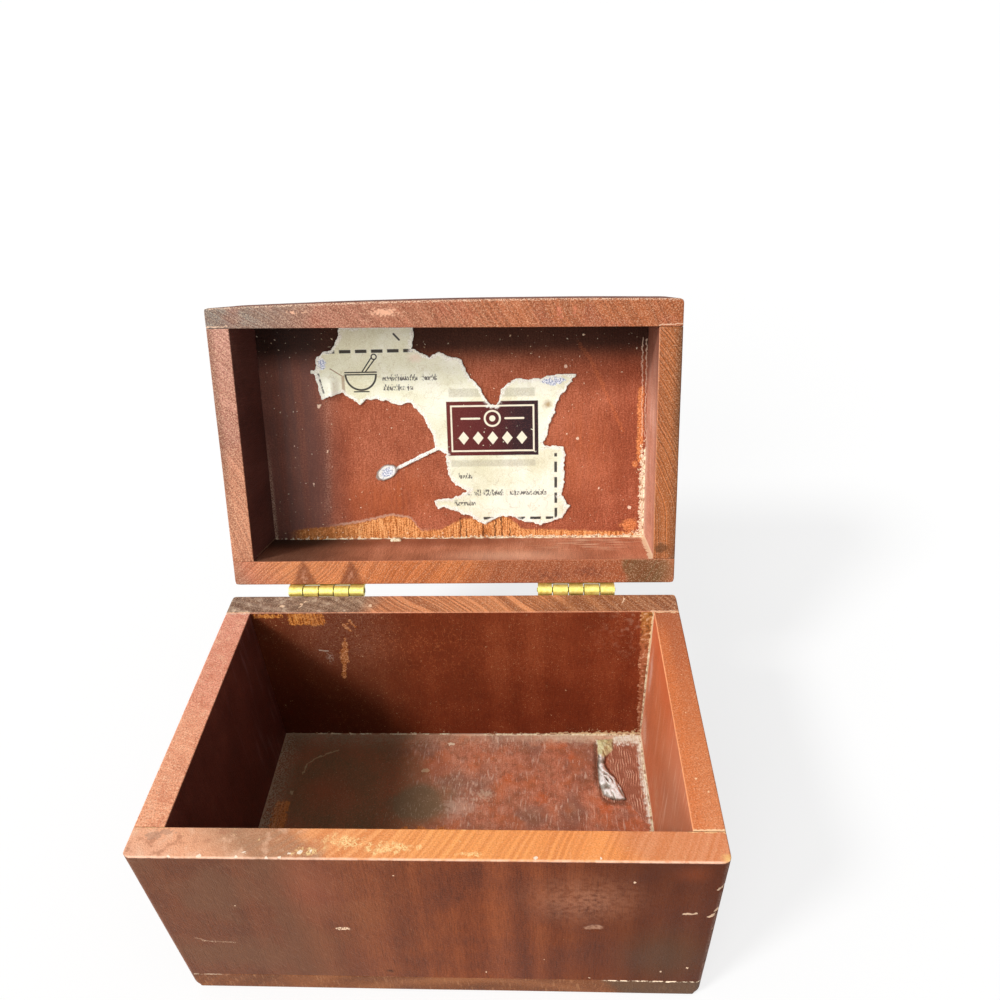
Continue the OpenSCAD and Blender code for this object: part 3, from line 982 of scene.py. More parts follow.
def back_rim(t):
    colour = zones(t, t.x - (t.y - 43) * 0.8, (-76, (158, 134, 116)), (-60, (170, 144, 124)),
                   (-32, (168, 138, 114)), (-25, (226, 148, 102)), (30, (232, 152, 100)),
                   (42, (180, 114, 72)), (60, (178, 114, 74)), (76, (178, 118, 84)))
    greyed = t.x.rise(-24, -34)
    blotched = noise(t.place, 2.4, 3)
    colour = colour.lay(
        (t.lines * greyed * 0.6, (92, 66, 52)),
        (blotched.rise(0.5, 0.36) * greyed * 0.5, (84, 62, 52)),
        (blotched.rise(0.56, 0.7) * greyed * 0.5, (222, 200, 176)))
    colour = rim(t, colour, (124, 62, 34), t.x.rise(-34, -24, 0.15, 0.7), 0.36, 0.3)
    spot = t.spot("xy")
    marks = most(blots(spot, (-51.2, 43.4, 0.9), (-57.5, 42.4, 1.2), (-27.3, 42.3, 1.2)),
                 strokes(spot, 0.7, (-51.5, 41.6, -49.8, 44.8), (57.8, 43.4, 58.6, 45.4)) * 0.8)
    seam = t.flaked(strokes(spot, 0.7, (-76, 39.3, -67.8, 39.3), (66.8, 39.3, 76, 39.3)))
    dusty = t.flecks * t.x.rise(36, 50) * 0.7
    return colour.mix(most(t.flaked(marks) * 0.75, seam * 0.7, dusty), (250, 214, 178))


def paint_back():
    t = Timber("back_board_finish", (-96, -72), ring_step=0.9)
    on_rim = rim_mask(t)
    inside = inner_mask(t.y, INNER_BACK)
    wall, veins = back_wall(t)
    colour = worn_outside(t).mix(inside, wall).mix(on_rim, back_rim(t))
    edge = arris(t.y - INNER_BACK, t.z - RIM_Z, 0.5) * t.speck.rise(0.1, 0.6, 0.4, 0.9)
    colour = colour.mix(edge, (226, 152, 118))
    rough, height = common(t, on_rim)
    return finish(t, colour, rough, height + (veins + t.grain * 0.6) * inside)


boards["back"].data.materials.append(paint_back())

# %% [markdown]
# The two sides differ as the light and the years left them. The left rim is a soft salmon without
# clear rings, and its inner wall is dark. The right rim is orange along its inner edge and browner
# outside. The wall under it catches the light: it is salmon, redder below the rim, with pale
# vertical streaks and a powdery corner.

# %% Side boards of the base
INNER_X = shut_box("base_right_board")[0][0]
HALF_D = 48


def along_y(t, *stops):
    """Base colours along the depth of a board."""
    return zones(t, t.y, *stops, half=HALF_D)


def paint_left():
    t = Timber("left_board_finish", (-40, 90))
    on_rim = rim_mask(t)
    wall = face(t, (74, 38, 31), (94, 50, 41), (114, 66, 54), 0.1)
    ghost = noise(t.place, 2.4, 2, (1, 1, 0.12)).rise(0.55, 0.75)
    wall = wall.mix(ghost * t.y.rise(-10, 30) * 0.22, (150, 122, 122))
    bare = along_y(t, (-40, (244, 170, 130)), (-12, (240, 166, 130)), (6, (232, 154, 126)),
                   (40, (224, 150, 128)))
    blotched = noise(t.place, 3.4, 3)
    bare = bare.lay((blotched.rise(0.5, 0.36) * 0.4, (196, 110, 80)),
                    (blotched.rise(0.56, 0.7) * 0.35, (252, 198, 162)))
    bare = rim(t, bare, (190, 108, 80), 0.3, 0.5, 0.45)
    spot = t.spot("xy")
    bare = bare.mix(t.flecks * t.x.rise(-69, -76) * 0.6, WHITE)
    seam = t.flaked(strokes(spot, 0.6, (-76, 38.9, -66.8, 38.9)))
    bare = bare.mix(seam * 0.6, WHITE)
    colour = worn_outside(t).mix(inner_mask(t.x, -INNER_X, -1), wall).mix(on_rim, bare)
    edge = arris(t.x + HALF_W, t.z - RIM_Z, 0.6) * t.speck * 0.7
    return finish(t, colour.mix(edge, WHITE), *common(t, on_rim))


def right_wall(t):
    spot = t.spot("yz")
    wall = face(t, (196, 108, 72), (224, 134, 94), (242, 160, 122), 0.12)
    streaks = noise(t.place, 1.1, 2, (1, 1, 0.05)).rise(0.54, 0.72)
    sheen = t.flaked(blot(spot, (33, 50), (4.5, 24)), 1.2, 0.3, 1.0)
    powder = (blot(spot, (33, 20), (9, 13)) + (t.grain - 0.5) * 0.9).rise(0.25, 1.0)
    corner = t.flaked(most(t.y.rise(37.2, 38.6) * 0.9, t.z.rise(12.6, 9.8) * t.y.rise(-34, 0, 0.6, 1)), 1.8)
    return wall.lay(
        (t.y.rise(38, 18) * 0.5, (214, 112, 62)),
        (t.y.rise(8, -20) * 0.6, (226, 150, 116)),
        (streaks * t.y.rise(20, -20, 0.3, 0.6), (250, 206, 176)),
        (sheen * 0.6, (240, 196, 176)),
        (powder * 0.55, (250, 214, 188)),
        (t.z.rise(52, 72) * t.y.rise(-30, 30, 0.2, 0.7), (226, 112, 66)),
        (blot(spot, (1, 24), (14, 12)) * t.crumb.rise(0.3, 0.6) * 0.6, (226, 164, 128)),
        (corner * 0.85, (250, 226, 196)))


def paint_right():
    t = Timber("right_board_finish", (30, 110))
    on_rim = rim_mask(t)
    inside = inner_mask(t.x, INNER_X)
    glow = t.loose["x"].rise(72.6, 69.2) * t.y.rise(40, 24)
    bare = along_y(t, (-40, (226, 140, 92)), (-10, (214, 126, 78)), (15, (196, 108, 66)), (40, (176, 98, 64)))
    bare = bare.mix(glow * 0.6, (222, 124, 70))
    bare = rim(t, bare, (184, 94, 52), 0.2, 0.22, 0.3)
    bare = bare.mix(t.flecks * t.x.rise(69, 76) * 0.55, (250, 210, 172))
    spot = t.spot("xy")
    nicked = t.flaked(blots(spot, (72.5, 12, 0.45), (71, -24, 0.7), (73.6, -28, 0.5), (71.6, -2, 0.4)))
    seam = t.flaked(strokes(spot, 0.8, (66.8, 38.9, 76, 38.9), (66.8, -38.9, 76, -38.9)))
    bare = bare.mix(most(seam * 0.75, nicked * 0.7), (255, 216, 170))
    colour = worn_outside(t).mix(inside, right_wall(t)).mix(on_rim, bare)
    edge = arris(t.x - INNER_X, t.z - RIM_Z, 0.55)
    return finish(t, colour.mix(edge * 0.7, (255, 178, 128)), *common(t, on_rim))


boards["left"].data.materials.append(paint_left())
boards["right"].data.materials.append(paint_right())

# %% [markdown]
# The bottom board is the floor of the box and a narrow edge all round. An olive stain with lobes
# has spread over the left half of the floor, and the right half is scuffed, reddish and blotched.
# The edge is end grain at the front, so its rings show as fine upright ticks, and it is grimy at the
# right end.

# %% Bottom board of the base
def floor_face(t):
    spot = t.spot("xy")
    patches = noise(t.place, 12, 3)
    tints = noise(t.place.vector("ADD", (70, 30, 0)), 9, 3)
    colour = face(t, (160, 96, 70), (196, 120, 90), (222, 150, 118), 0.1)
    worn = noise(t.place, 3.0, 3)
    rubbed = noise(t.place, 0.8, 3, (1, 0.25, 1)).rise(0.54, 0.74) * patches.rise(0.36, 0.6, 0.3, 1)
    left = (t.x + (patches - 0.5) * 46).rise(-2, -26)
    olive = ramp(patches * 0.6 + t.grain * 0.2 + t.speck * 0.2, (0.3, (168, 104, 74)), (0.5, (148, 104, 74)),
                 (0.65, (126, 98, 70)))
    lobe = (blot(spot, (-13, 9), (18, 13)) + (patches - 0.5) * 1.2).rise(0.1, 0.6)
    ring = (blot(spot, (-8, 24), (10, 6)) + (patches - 0.5) * 1.4).rise(0.2, 0.8)
    pale = t.flaked(blot(spot, (1, 8), (12, 8)), 1.6, 0.3, 1.0)
    patch = most(block(spot, (-61.5, 3), (4.4, 9), 3.0),
                 blots(spot, (-17, -0.5, 3.2), (-11, -1, 4.4), (-4, -1, 4.8)))
    gold = ramp(t.fibres * 0.5 + t.grain * 0.5, (0.2, (176, 96, 40)), (0.8, (240, 150, 76)))
    fired = blots(spot, (38, 34, 4.4), (41, 29, 4.2), (30, 12, 6), (18, 20, 5), (52, 8, 6))
    fired = t.flaked(fired, 1.4, 0.4, 1.0)
    thread = most(strokes(spot, 0.6, (-57, 21, -56.6, 25), (-56.6, 25.5, -53, 28.4), (-53, 28.4, -46, 31.6)),
                  blot(spot, (-57, 22), 1.0), blot(spot, (-59.4, 13.6), (2.4, 1.6)) * 0.7)
    lint = t.flaked(most(thread, blot(spot, (-12, 23), (3.4, 1.5))))
    # beside: a painted shadow, dark on the floor along the left and lower edges of the glue lump.
    beside = most(stroke(spot, (50.4, 35), (49.6, 20), 3.2), stroke(spot, (49.6, 20), (52.4, 11), 3.6),
                  stroke(spot, (52.4, 10.4), (58.6, 10), 3.4))
    colour = colour.lay(
        (patches.rise(0.46, 0.64) * 0.7, (150, 106, 90)),
        (tints.rise(0.48, 0.68) * 0.6, (210, 118, 74)),
        (tints.rise(0.46, 0.3) * 0.5, (158, 104, 76)),
        (worn.rise(0.5, 0.34) * 0.4, (134, 80, 58)),
        (worn.rise(0.52, 0.68) * 0.35, (230, 164, 134)),
        (rubbed * 0.6, (244, 212, 188)),
        (left, olive),
        (blot(spot, (-46, 14), (16, 12)) * 0.5, (170, 92, 62)),
        (lobe * 0.85, (126, 106, 80)),
        (ring * 0.5, (196, 110, 76)),
        (pale * 0.45, (220, 186, 164)),
        (t.flaked(patch, 1.4, 0.4, 0.9) * 0.75, gold),
        (fired * 0.6, (214, 108, 58)),
        (lint * 0.6, (214, 188, 148)),
        # The glue lump's painted shadow on the floor.
        (beside * 0.62, (74, 46, 34)))
    ticks = noise(t.place, 0.45, 2, (1, 0.22, 1)).rise(0.58, 0.72)
    scuffs = ticks * most(blot(spot, (8, 12), (13, 8)), blot(spot, (-2, 18), (14, 6)),
                          blot(spot, (-16, 6), (18, 8)) * 0.7)
    cloudy = t.flaked(blot(spot, (10, 13), (8, 5)), 2.0, 0.5, 1.1)
    walls = most(t.y.rise(37.6, 38.9), t.x.rise(-66.4, -67.4) * 0.75, t.x.rise(65.6, 67.6))
    hazy = most(t.y.rise(30, 38) * 0.6, t.x.rise(-58, -67)) * t.grain.rise(0.2, 0.9) * 0.45
    spill = t.flaked(blot(spot, (-3.7, 34.5), (2.6, 2.0)))
    grains = t.flecks * t.crumb.rise(0.34, 0.54) * t.x.rise(-40, 20, 0.45, 0.75)
    dusty = t.flaked(walls, 2.0) * t.x.rise(-10, 20, 0.3, 0.85)
    powder = t.flaked(t.y.rise(31.5, 38.4), 1.1, 0.3, 1.1) * t.x.rise(6, 46, 0.15, 0.75)
    white = most(scuffs * 0.6, cloudy * 0.4, dusty, spill, grains, hazy, powder)
    return colour.mix(white, (236, 212, 182)), rubbed + ticks * 0.5


def front_edge(t):
    spot = t.spot("xz")
    colour = face(t, (96, 56, 34), (124, 74, 46), (148, 94, 60))
    ticks = noise(t.place, 0.55, 2, (1, 1, 0.14)).rise(0.56, 0.72)
    glue = (t.z - FLOOR_Z + t.speck * 0.3).rise(-0.4, -0.15)
    lit = most(t.loose["x"].rise(46, 50), t.loose["x"].rise(-62, -68) * 0.4) * t.crumb.rise(0.4, 0.55)
    lump = t.flaked(blot(spot, (65.9, 9.1), (2.0, 1.2)))
    return colour.lay(
        (ticks * 0.25, (200, 150, 108)),
        ((t.loose["x"] + t.loose["z"] * 0.6).rise(50, 56) * 0.75, (84, 66, 50)),
        (most(glue * lit, lump), (246, 222, 192)))


def paint_bottom():
    t = Timber("bottom_board_finish", (12, -70), fibre="y")
    colour = worn_outside(t).mix(t.y.rise(FRONT_Y + 1.5, FRONT_Y + 0.8), front_edge(t))
    on_floor = t.z.rise(FLOOR_Z - 0.3, FLOOR_Z - 0.1)
    inside = on_floor * (abs(t.x) - HALF_W).rise(-7, -8) * (abs(t.y) + FRONT_Y).rise(-7, -8)
    inner, rubbed = floor_face(t)
    colour = colour.mix(inside, inner)
    under = t.z.rise(1.2, 0.2)
    colour = colour.mix(under * t.speck.rise(0.2, 0.9, 0.1, 0.5), (170, 118, 84))
    rough, height = common(t, on_floor * 0.5)
    return finish(t, colour, rough, height + (rubbed * 1.4 + t.grain * 0.4) * inside)


boards["bottom"].data.materials.append(paint_bottom())

# %% [markdown]
# The lid's rails repeat the scheme of the base. The rim of the front rail fades from grey at its
# left end to orange-brown, the left one is salmon with a dark outer edge, and the right one brown
# with ring lines. The back one is orange, with two dark stains where water got in beside the left
# hinge, a browner stretch in the middle and a dark right end.

# %% Rails of the lid
LID_HALF = shut_box("lid_back_rail")[1][0]
LEDGE_Y = shut_box("lid_back_rail")[0][1]
PANEL_Z = shut_box("lid_top_panel")[0][2]
RAIL = 7.5
INNER_LID = LID_HALF - RAIL


def crown_line(t):
    """Depth of the lid's crowned front face, as a field of x."""
    return t.x * t.x * (CROWN / (half_lid - LID_CORNER) ** 2) + front_middle


def paint_lid_front():
    t = Timber("lid_front_finish", (-120, 60), on_lid=True)
    on_rim = rim_mask(t)
    bare = zones(t, t.x, (-76, (138, 132, 124)), (-62, (142, 132, 122)), (-46, (158, 124, 108)),
                 (-36, (176, 120, 100)), (-10, (178, 116, 90)), (15, (180, 108, 74)), (76, (170, 96, 58)))
    redder = noise(t.place, 11, 2).rise(0.5, 0.7) * 0.4
    bare = bare.mix(redder, (176, 96, 74))
    bare = rim(t, bare, (108, 60, 40), 0.4, 0.3, 0.5)
    spot = t.spot("xf")
    worn = most(blot(spot, (-18, 91.4), (9, 2.6)), blot(spot, (-46, 91.8), (7, 1.6)) * 0.7,
                blot(spot, (37, 90.6), (2.2, 5)) * 0.9, blot(spot, (42, 90.6), (1.4, 5)) * 0.8)
    rubbed = (worn + (noise(t.place, 0.8, 4) - 0.5) * 2.2).rise(0.4, 1.0)
    seams = t.flaked(strokes(spot, 0.5, (-76, 87.9, -68.6, 87.9), (68.4, 85.9, 76, 85.9)))
    bare = bare.lay(
        (rubbed * t.x.rise(30, 20) * 0.75, (236, 204, 170)),
        (rubbed * 0.4, (222, 130, 104)),
        (blot(spot, (-45, 91.2), (1.8, 1.6)) * 0.5, (96, 66, 56)),
        (seams * 0.6, (240, 200, 170)))
    colour = worn_outside(t).mix(on_rim, bare)
    edge = arris(t.z - LID_Z, t.y - crown_line(t), 0.9) * t.flaked(t.speck, 1.0)
    return finish(t, colour.mix(edge * 0.75, (240, 206, 178)), *common(t, on_rim))


def paint_lid_left():
    t = Timber("lid_left_finish", (-150, 60), on_lid=True)
    on_rim = rim_mask(t)
    outside = (t.loose["x"] + LID_HALF).rise(3.2, 0.4) * (t.loose["f"] / 90).rise(0.1, 0.5)
    bare = along_y(t, (-40, (204, 152, 136)), (-20, (200, 144, 124)), (-4, (180, 126, 108)),
                   (8, (206, 142, 112)), (30, (212, 146, 112)), (42, (196, 128, 96)))
    bare = bare.mix(outside * 0.7, (116, 86, 72))
    bare = rim(t, bare, (136, 82, 62), 0.5, 0.4, 0.5)
    bare = bare.mix(arris(t.x + LID_HALF, t.z - LID_Z, 0.7) * t.flecks, (244, 226, 210))
    wall = face(t, (66, 40, 36), (88, 54, 48), (106, 70, 62), 0.1)
    glue = t.flaked(block(t.spot("fw"), (9.2, 14), (0.6, 11), 0.8)) * 0.6
    wall = wall.mix(glue, (150, 130, 104))
    inner = inner_mask(t.x, -INNER_LID, -1)
    colour = worn_outside(t).mix(inner, wall).mix(on_rim, bare)
    return finish(t, colour, *common(t, on_rim))


def paint_lid_right():
    t = Timber("lid_right_finish", (-30, 44), on_lid=True, ring_step=0.45)
    on_rim = rim_mask(t)
    inside = inner_mask(t.x, INNER_LID)
    bare = ramp((LID_HALF - t.loose["x"]) / RAIL, (0.0, (100, 72, 52)), (0.16, (140, 88, 56)),
                (0.42, (190, 114, 68)), (1.0, (186, 108, 66)))
    bare = bare.mix(t.y.rise(-10, 10) * t.y.rise(42, 30) * 0.35, (206, 118, 62))
    bare = rim(t, bare, (100, 54, 30), 0.8, 0.24, 0.25)
    spot = t.spot("xf")
    damp = t.flaked(blot(spot, (71, 12.4), (5, 3.6)), 1.0, 0.3, 0.8)
    bare = bare.mix(damp * 0.6, (78, 56, 38))
    wall = face(t, (176, 112, 90), (214, 148, 122), (236, 182, 158), 0.1)
    streaks = noise(t.place, 1.0, 2, (1, 0.06, 1)).rise(0.5, 0.72)
    chalk = (t.z - PANEL_Z).rise(-8, 0) * t.f.rise(58, 40) * t.crumb.rise(0.35, 0.6)
    wall = wall.lay(
        (streaks * 0.5, (240, 206, 190)),
        ((t.z - LID_Z).rise(7, 0) * 0.45, (168, 96, 76)),
        (t.f.rise(54, 80) * 0.75, (112, 62, 46)),
        (chalk * 0.7, (250, 232, 206)),
        (t.flaked(t.f.rise(11, 9.4)) * 0.7, (248, 230, 196)))
    colour = worn_outside(t).mix(inside, wall).mix(on_rim, bare)
    edge = arris(t.x - INNER_LID, t.z - LID_Z, 0.5) * 0.4
    return finish(t, colour.mix(edge, (240, 176, 140)), *common(t, on_rim))


def soaked(t, x):
    """Mask of a stain that widens towards the lid's back: |x - middle| + f / 2 is below 4 to 6."""
    from_middle = abs(t.loose["x"] - x) + t.loose["f"] * 0.5
    return t.flaked(from_middle, 2.4, 5.6, 3.4)


def paint_lid_back():
    t = Timber("lid_back_finish", (-150, -60), on_lid=True, ring_step=0.5)
    on_rim = rim_mask(t)
    inside = inner_mask(t.y, LEDGE_Y)
    bare = zones(t, t.x, (-76, (170, 122, 100)), (-68, (204, 128, 98)), (-56, (222, 142, 92)),
                 (-20, (206, 118, 66)), (2, (212, 126, 72)), (12, (172, 98, 62)), (40, (168, 94, 62)),
                 (59, (168, 90, 56)), (61, (122, 86, 54)), (67, (112, 80, 50)), (71, (140, 94, 62)),
                 (76, (176, 110, 74)))
    bare = rim(t, bare, (132, 66, 38), 0.5, 0.3, 0.3)
    spot = t.spot("xf")
    stains = most(soaked(t, -51), soaked(t, -34.7))
    pale = most(*[blot(spot, (x, 2.6), (1.6, 4.4)) for x in (-51, -34.9)]) * t.crumb.rise(0.42, 0.6)
    dark = most(blot(spot, (33, 3), (13, 4)), blot(spot, (47, 4), (10, 4)))
    dark = dark * t.crumb.rise(0.35, 0.6)
    bare = bare.lay(
        (stains * 0.6, (96, 46, 36)),
        (pale * 0.5, (222, 164, 132)),
        (dark * 0.5, (96, 48, 40)))
    ledge = face(t, (150, 88, 64), (196, 124, 92), (228, 160, 128), 0.12)
    lip = t.spot("xw")
    # deep rises towards the panel; it places the painted shade in the corner next to the panel.
    deep = (t.z - PANEL_Z).rise(-13, -3)
    streaks = noise(t.place, 0.8, 2, (0.1, 1, 1)).rise(0.5, 0.66) * blot(lip, (50, 18), (30, 12))
    chip = t.flaked(blot(lip, (-22.5, 22), (3.4, 1.8)), 1.0)
    corner = t.flaked(most((t.z - PANEL_Z).rise(-1.4, -0.2) * t.x.rise(10, 50, 0.2, 1),
                           t.x.rise(66.0, 68.0)), 2.0)
    ledge = ledge.lay(
        # Painted shade next to the panel and on the left, where the left rail's shadow falls, and a pale
        # pinkish painted highlight over the middle.
        (deep * t.x.rise(46, 10) * 0.6, (124, 66, 46)),
        (t.x.rise(-22, -56) * (deep * 0.25 + 0.75), (66, 46, 36)),
        (blot(lip, (20, 5), (34, 9)) * 0.5, (246, 190, 160)),
        (most(streaks * 0.8, corner * 0.85), (242, 218, 186)),
        (chip, (246, 238, 208)))
    colour = worn_outside(t).mix(inside, ledge).mix(on_rim, bare)
    edge = arris(t.y - LEDGE_Y, t.z - LID_Z, 0.5) * t.speck * 0.5
    return finish(t, colour.mix(edge, (236, 160, 124)), *common(t, on_rim))


rail_painters = {"lid_front": paint_lid_front, "lid_left": paint_lid_left,
                 "lid_right": paint_lid_right, "lid_back": paint_lid_back}
for board, paint in rail_painters.items():
    boards[board].data.materials.append(paint())

# %% [markdown]
# The top panel is seen from its inside. The stain stops short of the back rail and leaves a band of
# bare orange wood with a hump in it and short dark cracks. Its border is a curve, given by its height
# at a few places. A scratch runs down on the right, and old glue has dried white near that corner.
# Painted shadow, with some grime, darkens the panel next to the front rail, and painted shade greys
# its left part where the left rail's shadow falls.

# %% Top panel of the lid
BARE_BORDER = ((-68, 9), (-61, 12.4), (-46, 13.6), (-36, 15), (-24, 17.6), (-17, 16.4), (-13.5, 11.6),
               (-6, 12), (2, 16), (18, 17.5), (24, 12), (66, 10.5))


def border_height(t, border, top=20):
    """The height of a curve over x, in millimetres, as a ramp of greys."""
    stops = [((x + HALF_W) / (2 * HALF_W), height / top) for x, height in border]
    share = (t.loose["x"] + HALF_W) / (2 * HALF_W)
    return t.x.node("ShaderNodeValToRGB", {"stops": stops}, {"Fac": share}) * top


def panel_inside(t):
    spot = t.spot("xf")
    colour = face(t, (134, 66, 44), (162, 88, 62), (200, 120, 90), 0.14, 0.3)
    warm = blot(spot, (-24, 24), (26, 20)) + blot(spot, (46, 40), (20, 34)) * 0.7
    warm = warm * noise(t.place, 1.6, 3, (1, 0.12, 1)).rise(0.3, 0.7, 0.3, 1.0)
    soft = noise(t.place, 4, 1, (1, 0.03, 1)).rise(0.35, 0.7)
    into = border_height(t, BARE_BORDER) - t.loose["f"]
    wood = ramp(t.fibres * 0.4 + t.grain * 0.35 + t.speck * 0.25, (0.22, (160, 88, 42)),
                (0.5, (228, 148, 86)), (0.8, (252, 192, 130)))
    wood = wood.mix(t.x.rise(-30, -44) * t.crumb.rise(0.35, 0.6, 0.3, 0.9), (158, 94, 50))
    bare = t.flaked(into, 1.4, -0.5, 0.6) * t.loose["x"].rise(-64, -57)
    lip = abs(into + 0.4).rise(0.7, 0.1) * t.loose["x"].rise(-50, -40) * t.loose["x"].rise(-8, -20) * 0.35
    cracks = strokes(spot, 0.7, (1.4, 7, 1.2, 16.5), (9.6, 7, 9.6, 18), (14, 7, 14.2, 17.5),
                     (16.8, 7, 16.2, 17), (3.4, 7, 3.4, 12), (19.6, 7, 19.4, 12))
    scratch = most(stroke(spot, (44.6, 79), (47.6, 74), 2.6), stroke(spot, (47.6, 75), (53, 64), 3.0),
                   stroke(spot, (53, 64), (60, 48), 2.6))
    scratch = (scratch + (t.grain - 0.5)).rise(0.3, 1.1)
    strip = most(block(spot, (66.2, 50), (1.9, 14.5), 1.6), blot(spot, (64.6, 36), (2.2, 3)),
                 blot(spot, (63, 13), (6, 5)))
    strip = t.flaked(strip, 1.4, 0.35, 0.8)
    orange = ramp(t.grain, (0.2, (194, 108, 58)), (0.8, (246, 164, 104)))
    scratch = scratch * t.f.rise(80, 66, 0.35, 1)
    small = blots(spot, (-47.7, 58.4, 0.8), (44.3, 45.5, 0.6), (62.9, 19.8, 0.8), (40, 71, 0.6),
                  (-52, 30, 0.4), (-58, 44, 0.4), (-46, 42, 0.4), (52, 27, 0.4), soft=0.3)
    dusty = stroke(t.spot("xf", t.exact), (-44.6, 60), (-47.4, 20), 5.0) * t.grain.rise(0.2, 1.0) * 0.14
    haze = t.x.rise(-66.5, -67.8) * t.f.rise(52, 20) * 0.6
    ridges = strokes(spot, 0.5, (66.3, 80, 66.8, 46), (67.8, 80, 67.9, 46)) * 0.5
    dried = most(t.loose["x"].rise(65.4, 67.4) * t.f.rise(50, 34), blot(spot, (67, 9), (8, 4)),
                 t.f.rise(10.2, 8.8) * t.x.rise(-10, 30, 0.45, 0.9))
    chalky = ramp(t.grain * 0.7 + t.speck * 0.3, (0.2, (190, 150, 112)), (0.45, (234, 208, 172)),
                  (0.7, (252, 240, 216)))
    shown = t.f.rise(84, 62, 0.45, 1)
    return colour.lay(
        ((warm * 0.6).clip(), (190, 100, 58)),
        # Painted shade: the left part is greyed and darkened where the left rail's soft shadow falls.
        (t.x.rise(-36, -56) * (soft * 0.2 + 0.6), (108, 86, 82)),
        # Painted shadow, with some grime: near black next to the front rail, where the rail's shadow falls.
        (t.f.rise(69, 79.5) * 0.9, (38, 28, 24)),
        (bare, wood),
        (cracks * 0.8, (90, 52, 34)),
        (scratch * 0.32, (214, 118, 70)),
        (strip * 0.8, orange),
        (t.flaked(dried, 2.6) * 0.85, chalky),
        (most(small * shown, lip, dusty, haze * t.grain, ridges), (240, 208, 182)))


def paint_panel():
    t = Timber("top_panel_finish", (20, 190), fibre="y", on_lid=True)
    inside = t.z.rise(PANEL_Z + 0.3, PANEL_Z + 0.1)
    colour = worn_outside(t).mix(inside, panel_inside(t))
    rough, height = common(t, inside * 0.3)
    pebbles = noise(t.place, 0.9, 2).rise(0.3, 0.7)
    return finish(t, colour, rough, height + (t.grain * 0.8 + pebbles * 1.2) * inside, 0.5)


boards["panel"].data.materials.append(paint_panel())

# %% [markdown]
# The paper is what is left of a clipping that somebody tried to tear off. Its outline is a coarse
# polygon that noise makes ragged: the torn edge is where the distance from the polygon plus noise is
# zero. The sheet is a grid of small cells of which those inside are kept, and the outermost points
# slide onto the edge. It has a front, a back and a rim, so it is a closed thin body.

# %% Torn outline
CELL = 0.4
OUTLINE = [(-38.7, 86), (-12.6, 86), (-13.0, 80.3), (-13.6, 78), (-9.9, 76.8), (-7.6, 75.3), (-4, 76.8),
           (-1.7, 75.4), (3.1, 74.5), (5.7, 69.5), (9.5, 64.4), (12.2, 59.2), (13.6, 58), (15.4, 58),
           (16.9, 60.8), (17.5, 63.7), (19.8, 65.9), (23.5, 67.5), (27.8, 66.6), (33.5, 67.9), (43.4, 68.4),
           (41.9, 65.8), (38, 61.1), (36.2, 55.3), (34, 51), (33.4, 46.7), (31.8, 44.4), (32.3, 42.8),
           (36.4, 42.9), (39.2, 42.4), (39.9, 39.6), (39.4, 36.2), (39.9, 32.4), (39.4, 28.5), (38.3, 24.7),
           (41.1, 20.7), (40.1, 17.8), (38.2, 15.8), (30.6, 13.9), (24, 15.4), (20.2, 17), (16.4, 17.3),
           (10.6, 14.1), (4, 17.6), (-4.5, 20.7), (-6.9, 19.7), (-7.8, 23.2), (-1.5, 24.1), (5.2, 27),
           (-0.4, 29), (-2.2, 31.9), (-2.8, 40.6), (-6.9, 43.1), (-8, 49.2), (-10.6, 53.9), (-15, 59),
           (-19.1, 58.6), (-26.5, 60.8), (-30.5, 60.6), (-33.2, 58.4), (-35, 60.7), (-39.3, 63),
           (-42.5, 62.1), (-46.2, 60.9), (-48.2, 69.3), (-50.1, 70.4), (-49.3, 71.5), (-47.6, 71.5),
           (-47.7, 75), (-44.6, 77.3), (-41.7, 78.5), (-39.1, 82.5)]
NECK = [(-5.0, 43.9), (-4.6, 42.6), (-21.5, 34.6), (-22.1, 35.5)]
NECK_END = (-24.8, 34)
NECK_RADII = (4.1, 2.6)


def value_noise(x, y, size, seed):
    """Noise from -1 to 1: chance numbers on a lattice of `size` millimetres, blended smoothly
    between the four nearest."""
    table = np.random.default_rng(seed).uniform(-1, 1, (64, 64))
    i = np.floor(x / size).astype(int)
    j = np.floor(y / size).astype(int)
    s = x / size - i
    t = y / size - j
    s = s * s * (3 - 2 * s)
    t = t * t * (3 - 2 * t)
    low = table[i % 64, j % 64] * (1 - s) + table[(i + 1) % 64, j % 64] * s
    high = table[i % 64, (j + 1) % 64] * (1 - s) + table[(i + 1) % 64, (j + 1) % 64] * s
    return low * (1 - t) + high * t


def polygon_gap(corners, x, y):
    """Distance from the sides of a polygon, negative inside it. A point is inside when a line from
    it to the right crosses an odd number of sides."""
    start = np.array(corners, float)
    end = np.roll(start, -1, 0)
    side = end - start
    apart = np.stack([x, y], -1)[..., None, :] - start
    share = np.clip((apart * side).sum(-1) / (side ** 2).sum(-1), 0, 1)
    gap = np.linalg.norm(apart - share[..., None] * side, axis=-1).min(-1)
    climb = np.where(side[:, 1] == 0, 1e-9, side[:, 1])
    spans = (start[:, 1] > y[..., None]) != (end[:, 1] > y[..., None])
    crossing = start[:, 0] + (y[..., None] - start[:, 1]) * side[:, 0] / climb
    inside = (spans & (x[..., None] < crossing)).sum(-1) % 2 == 1
    return np.where(inside, -gap, gap)


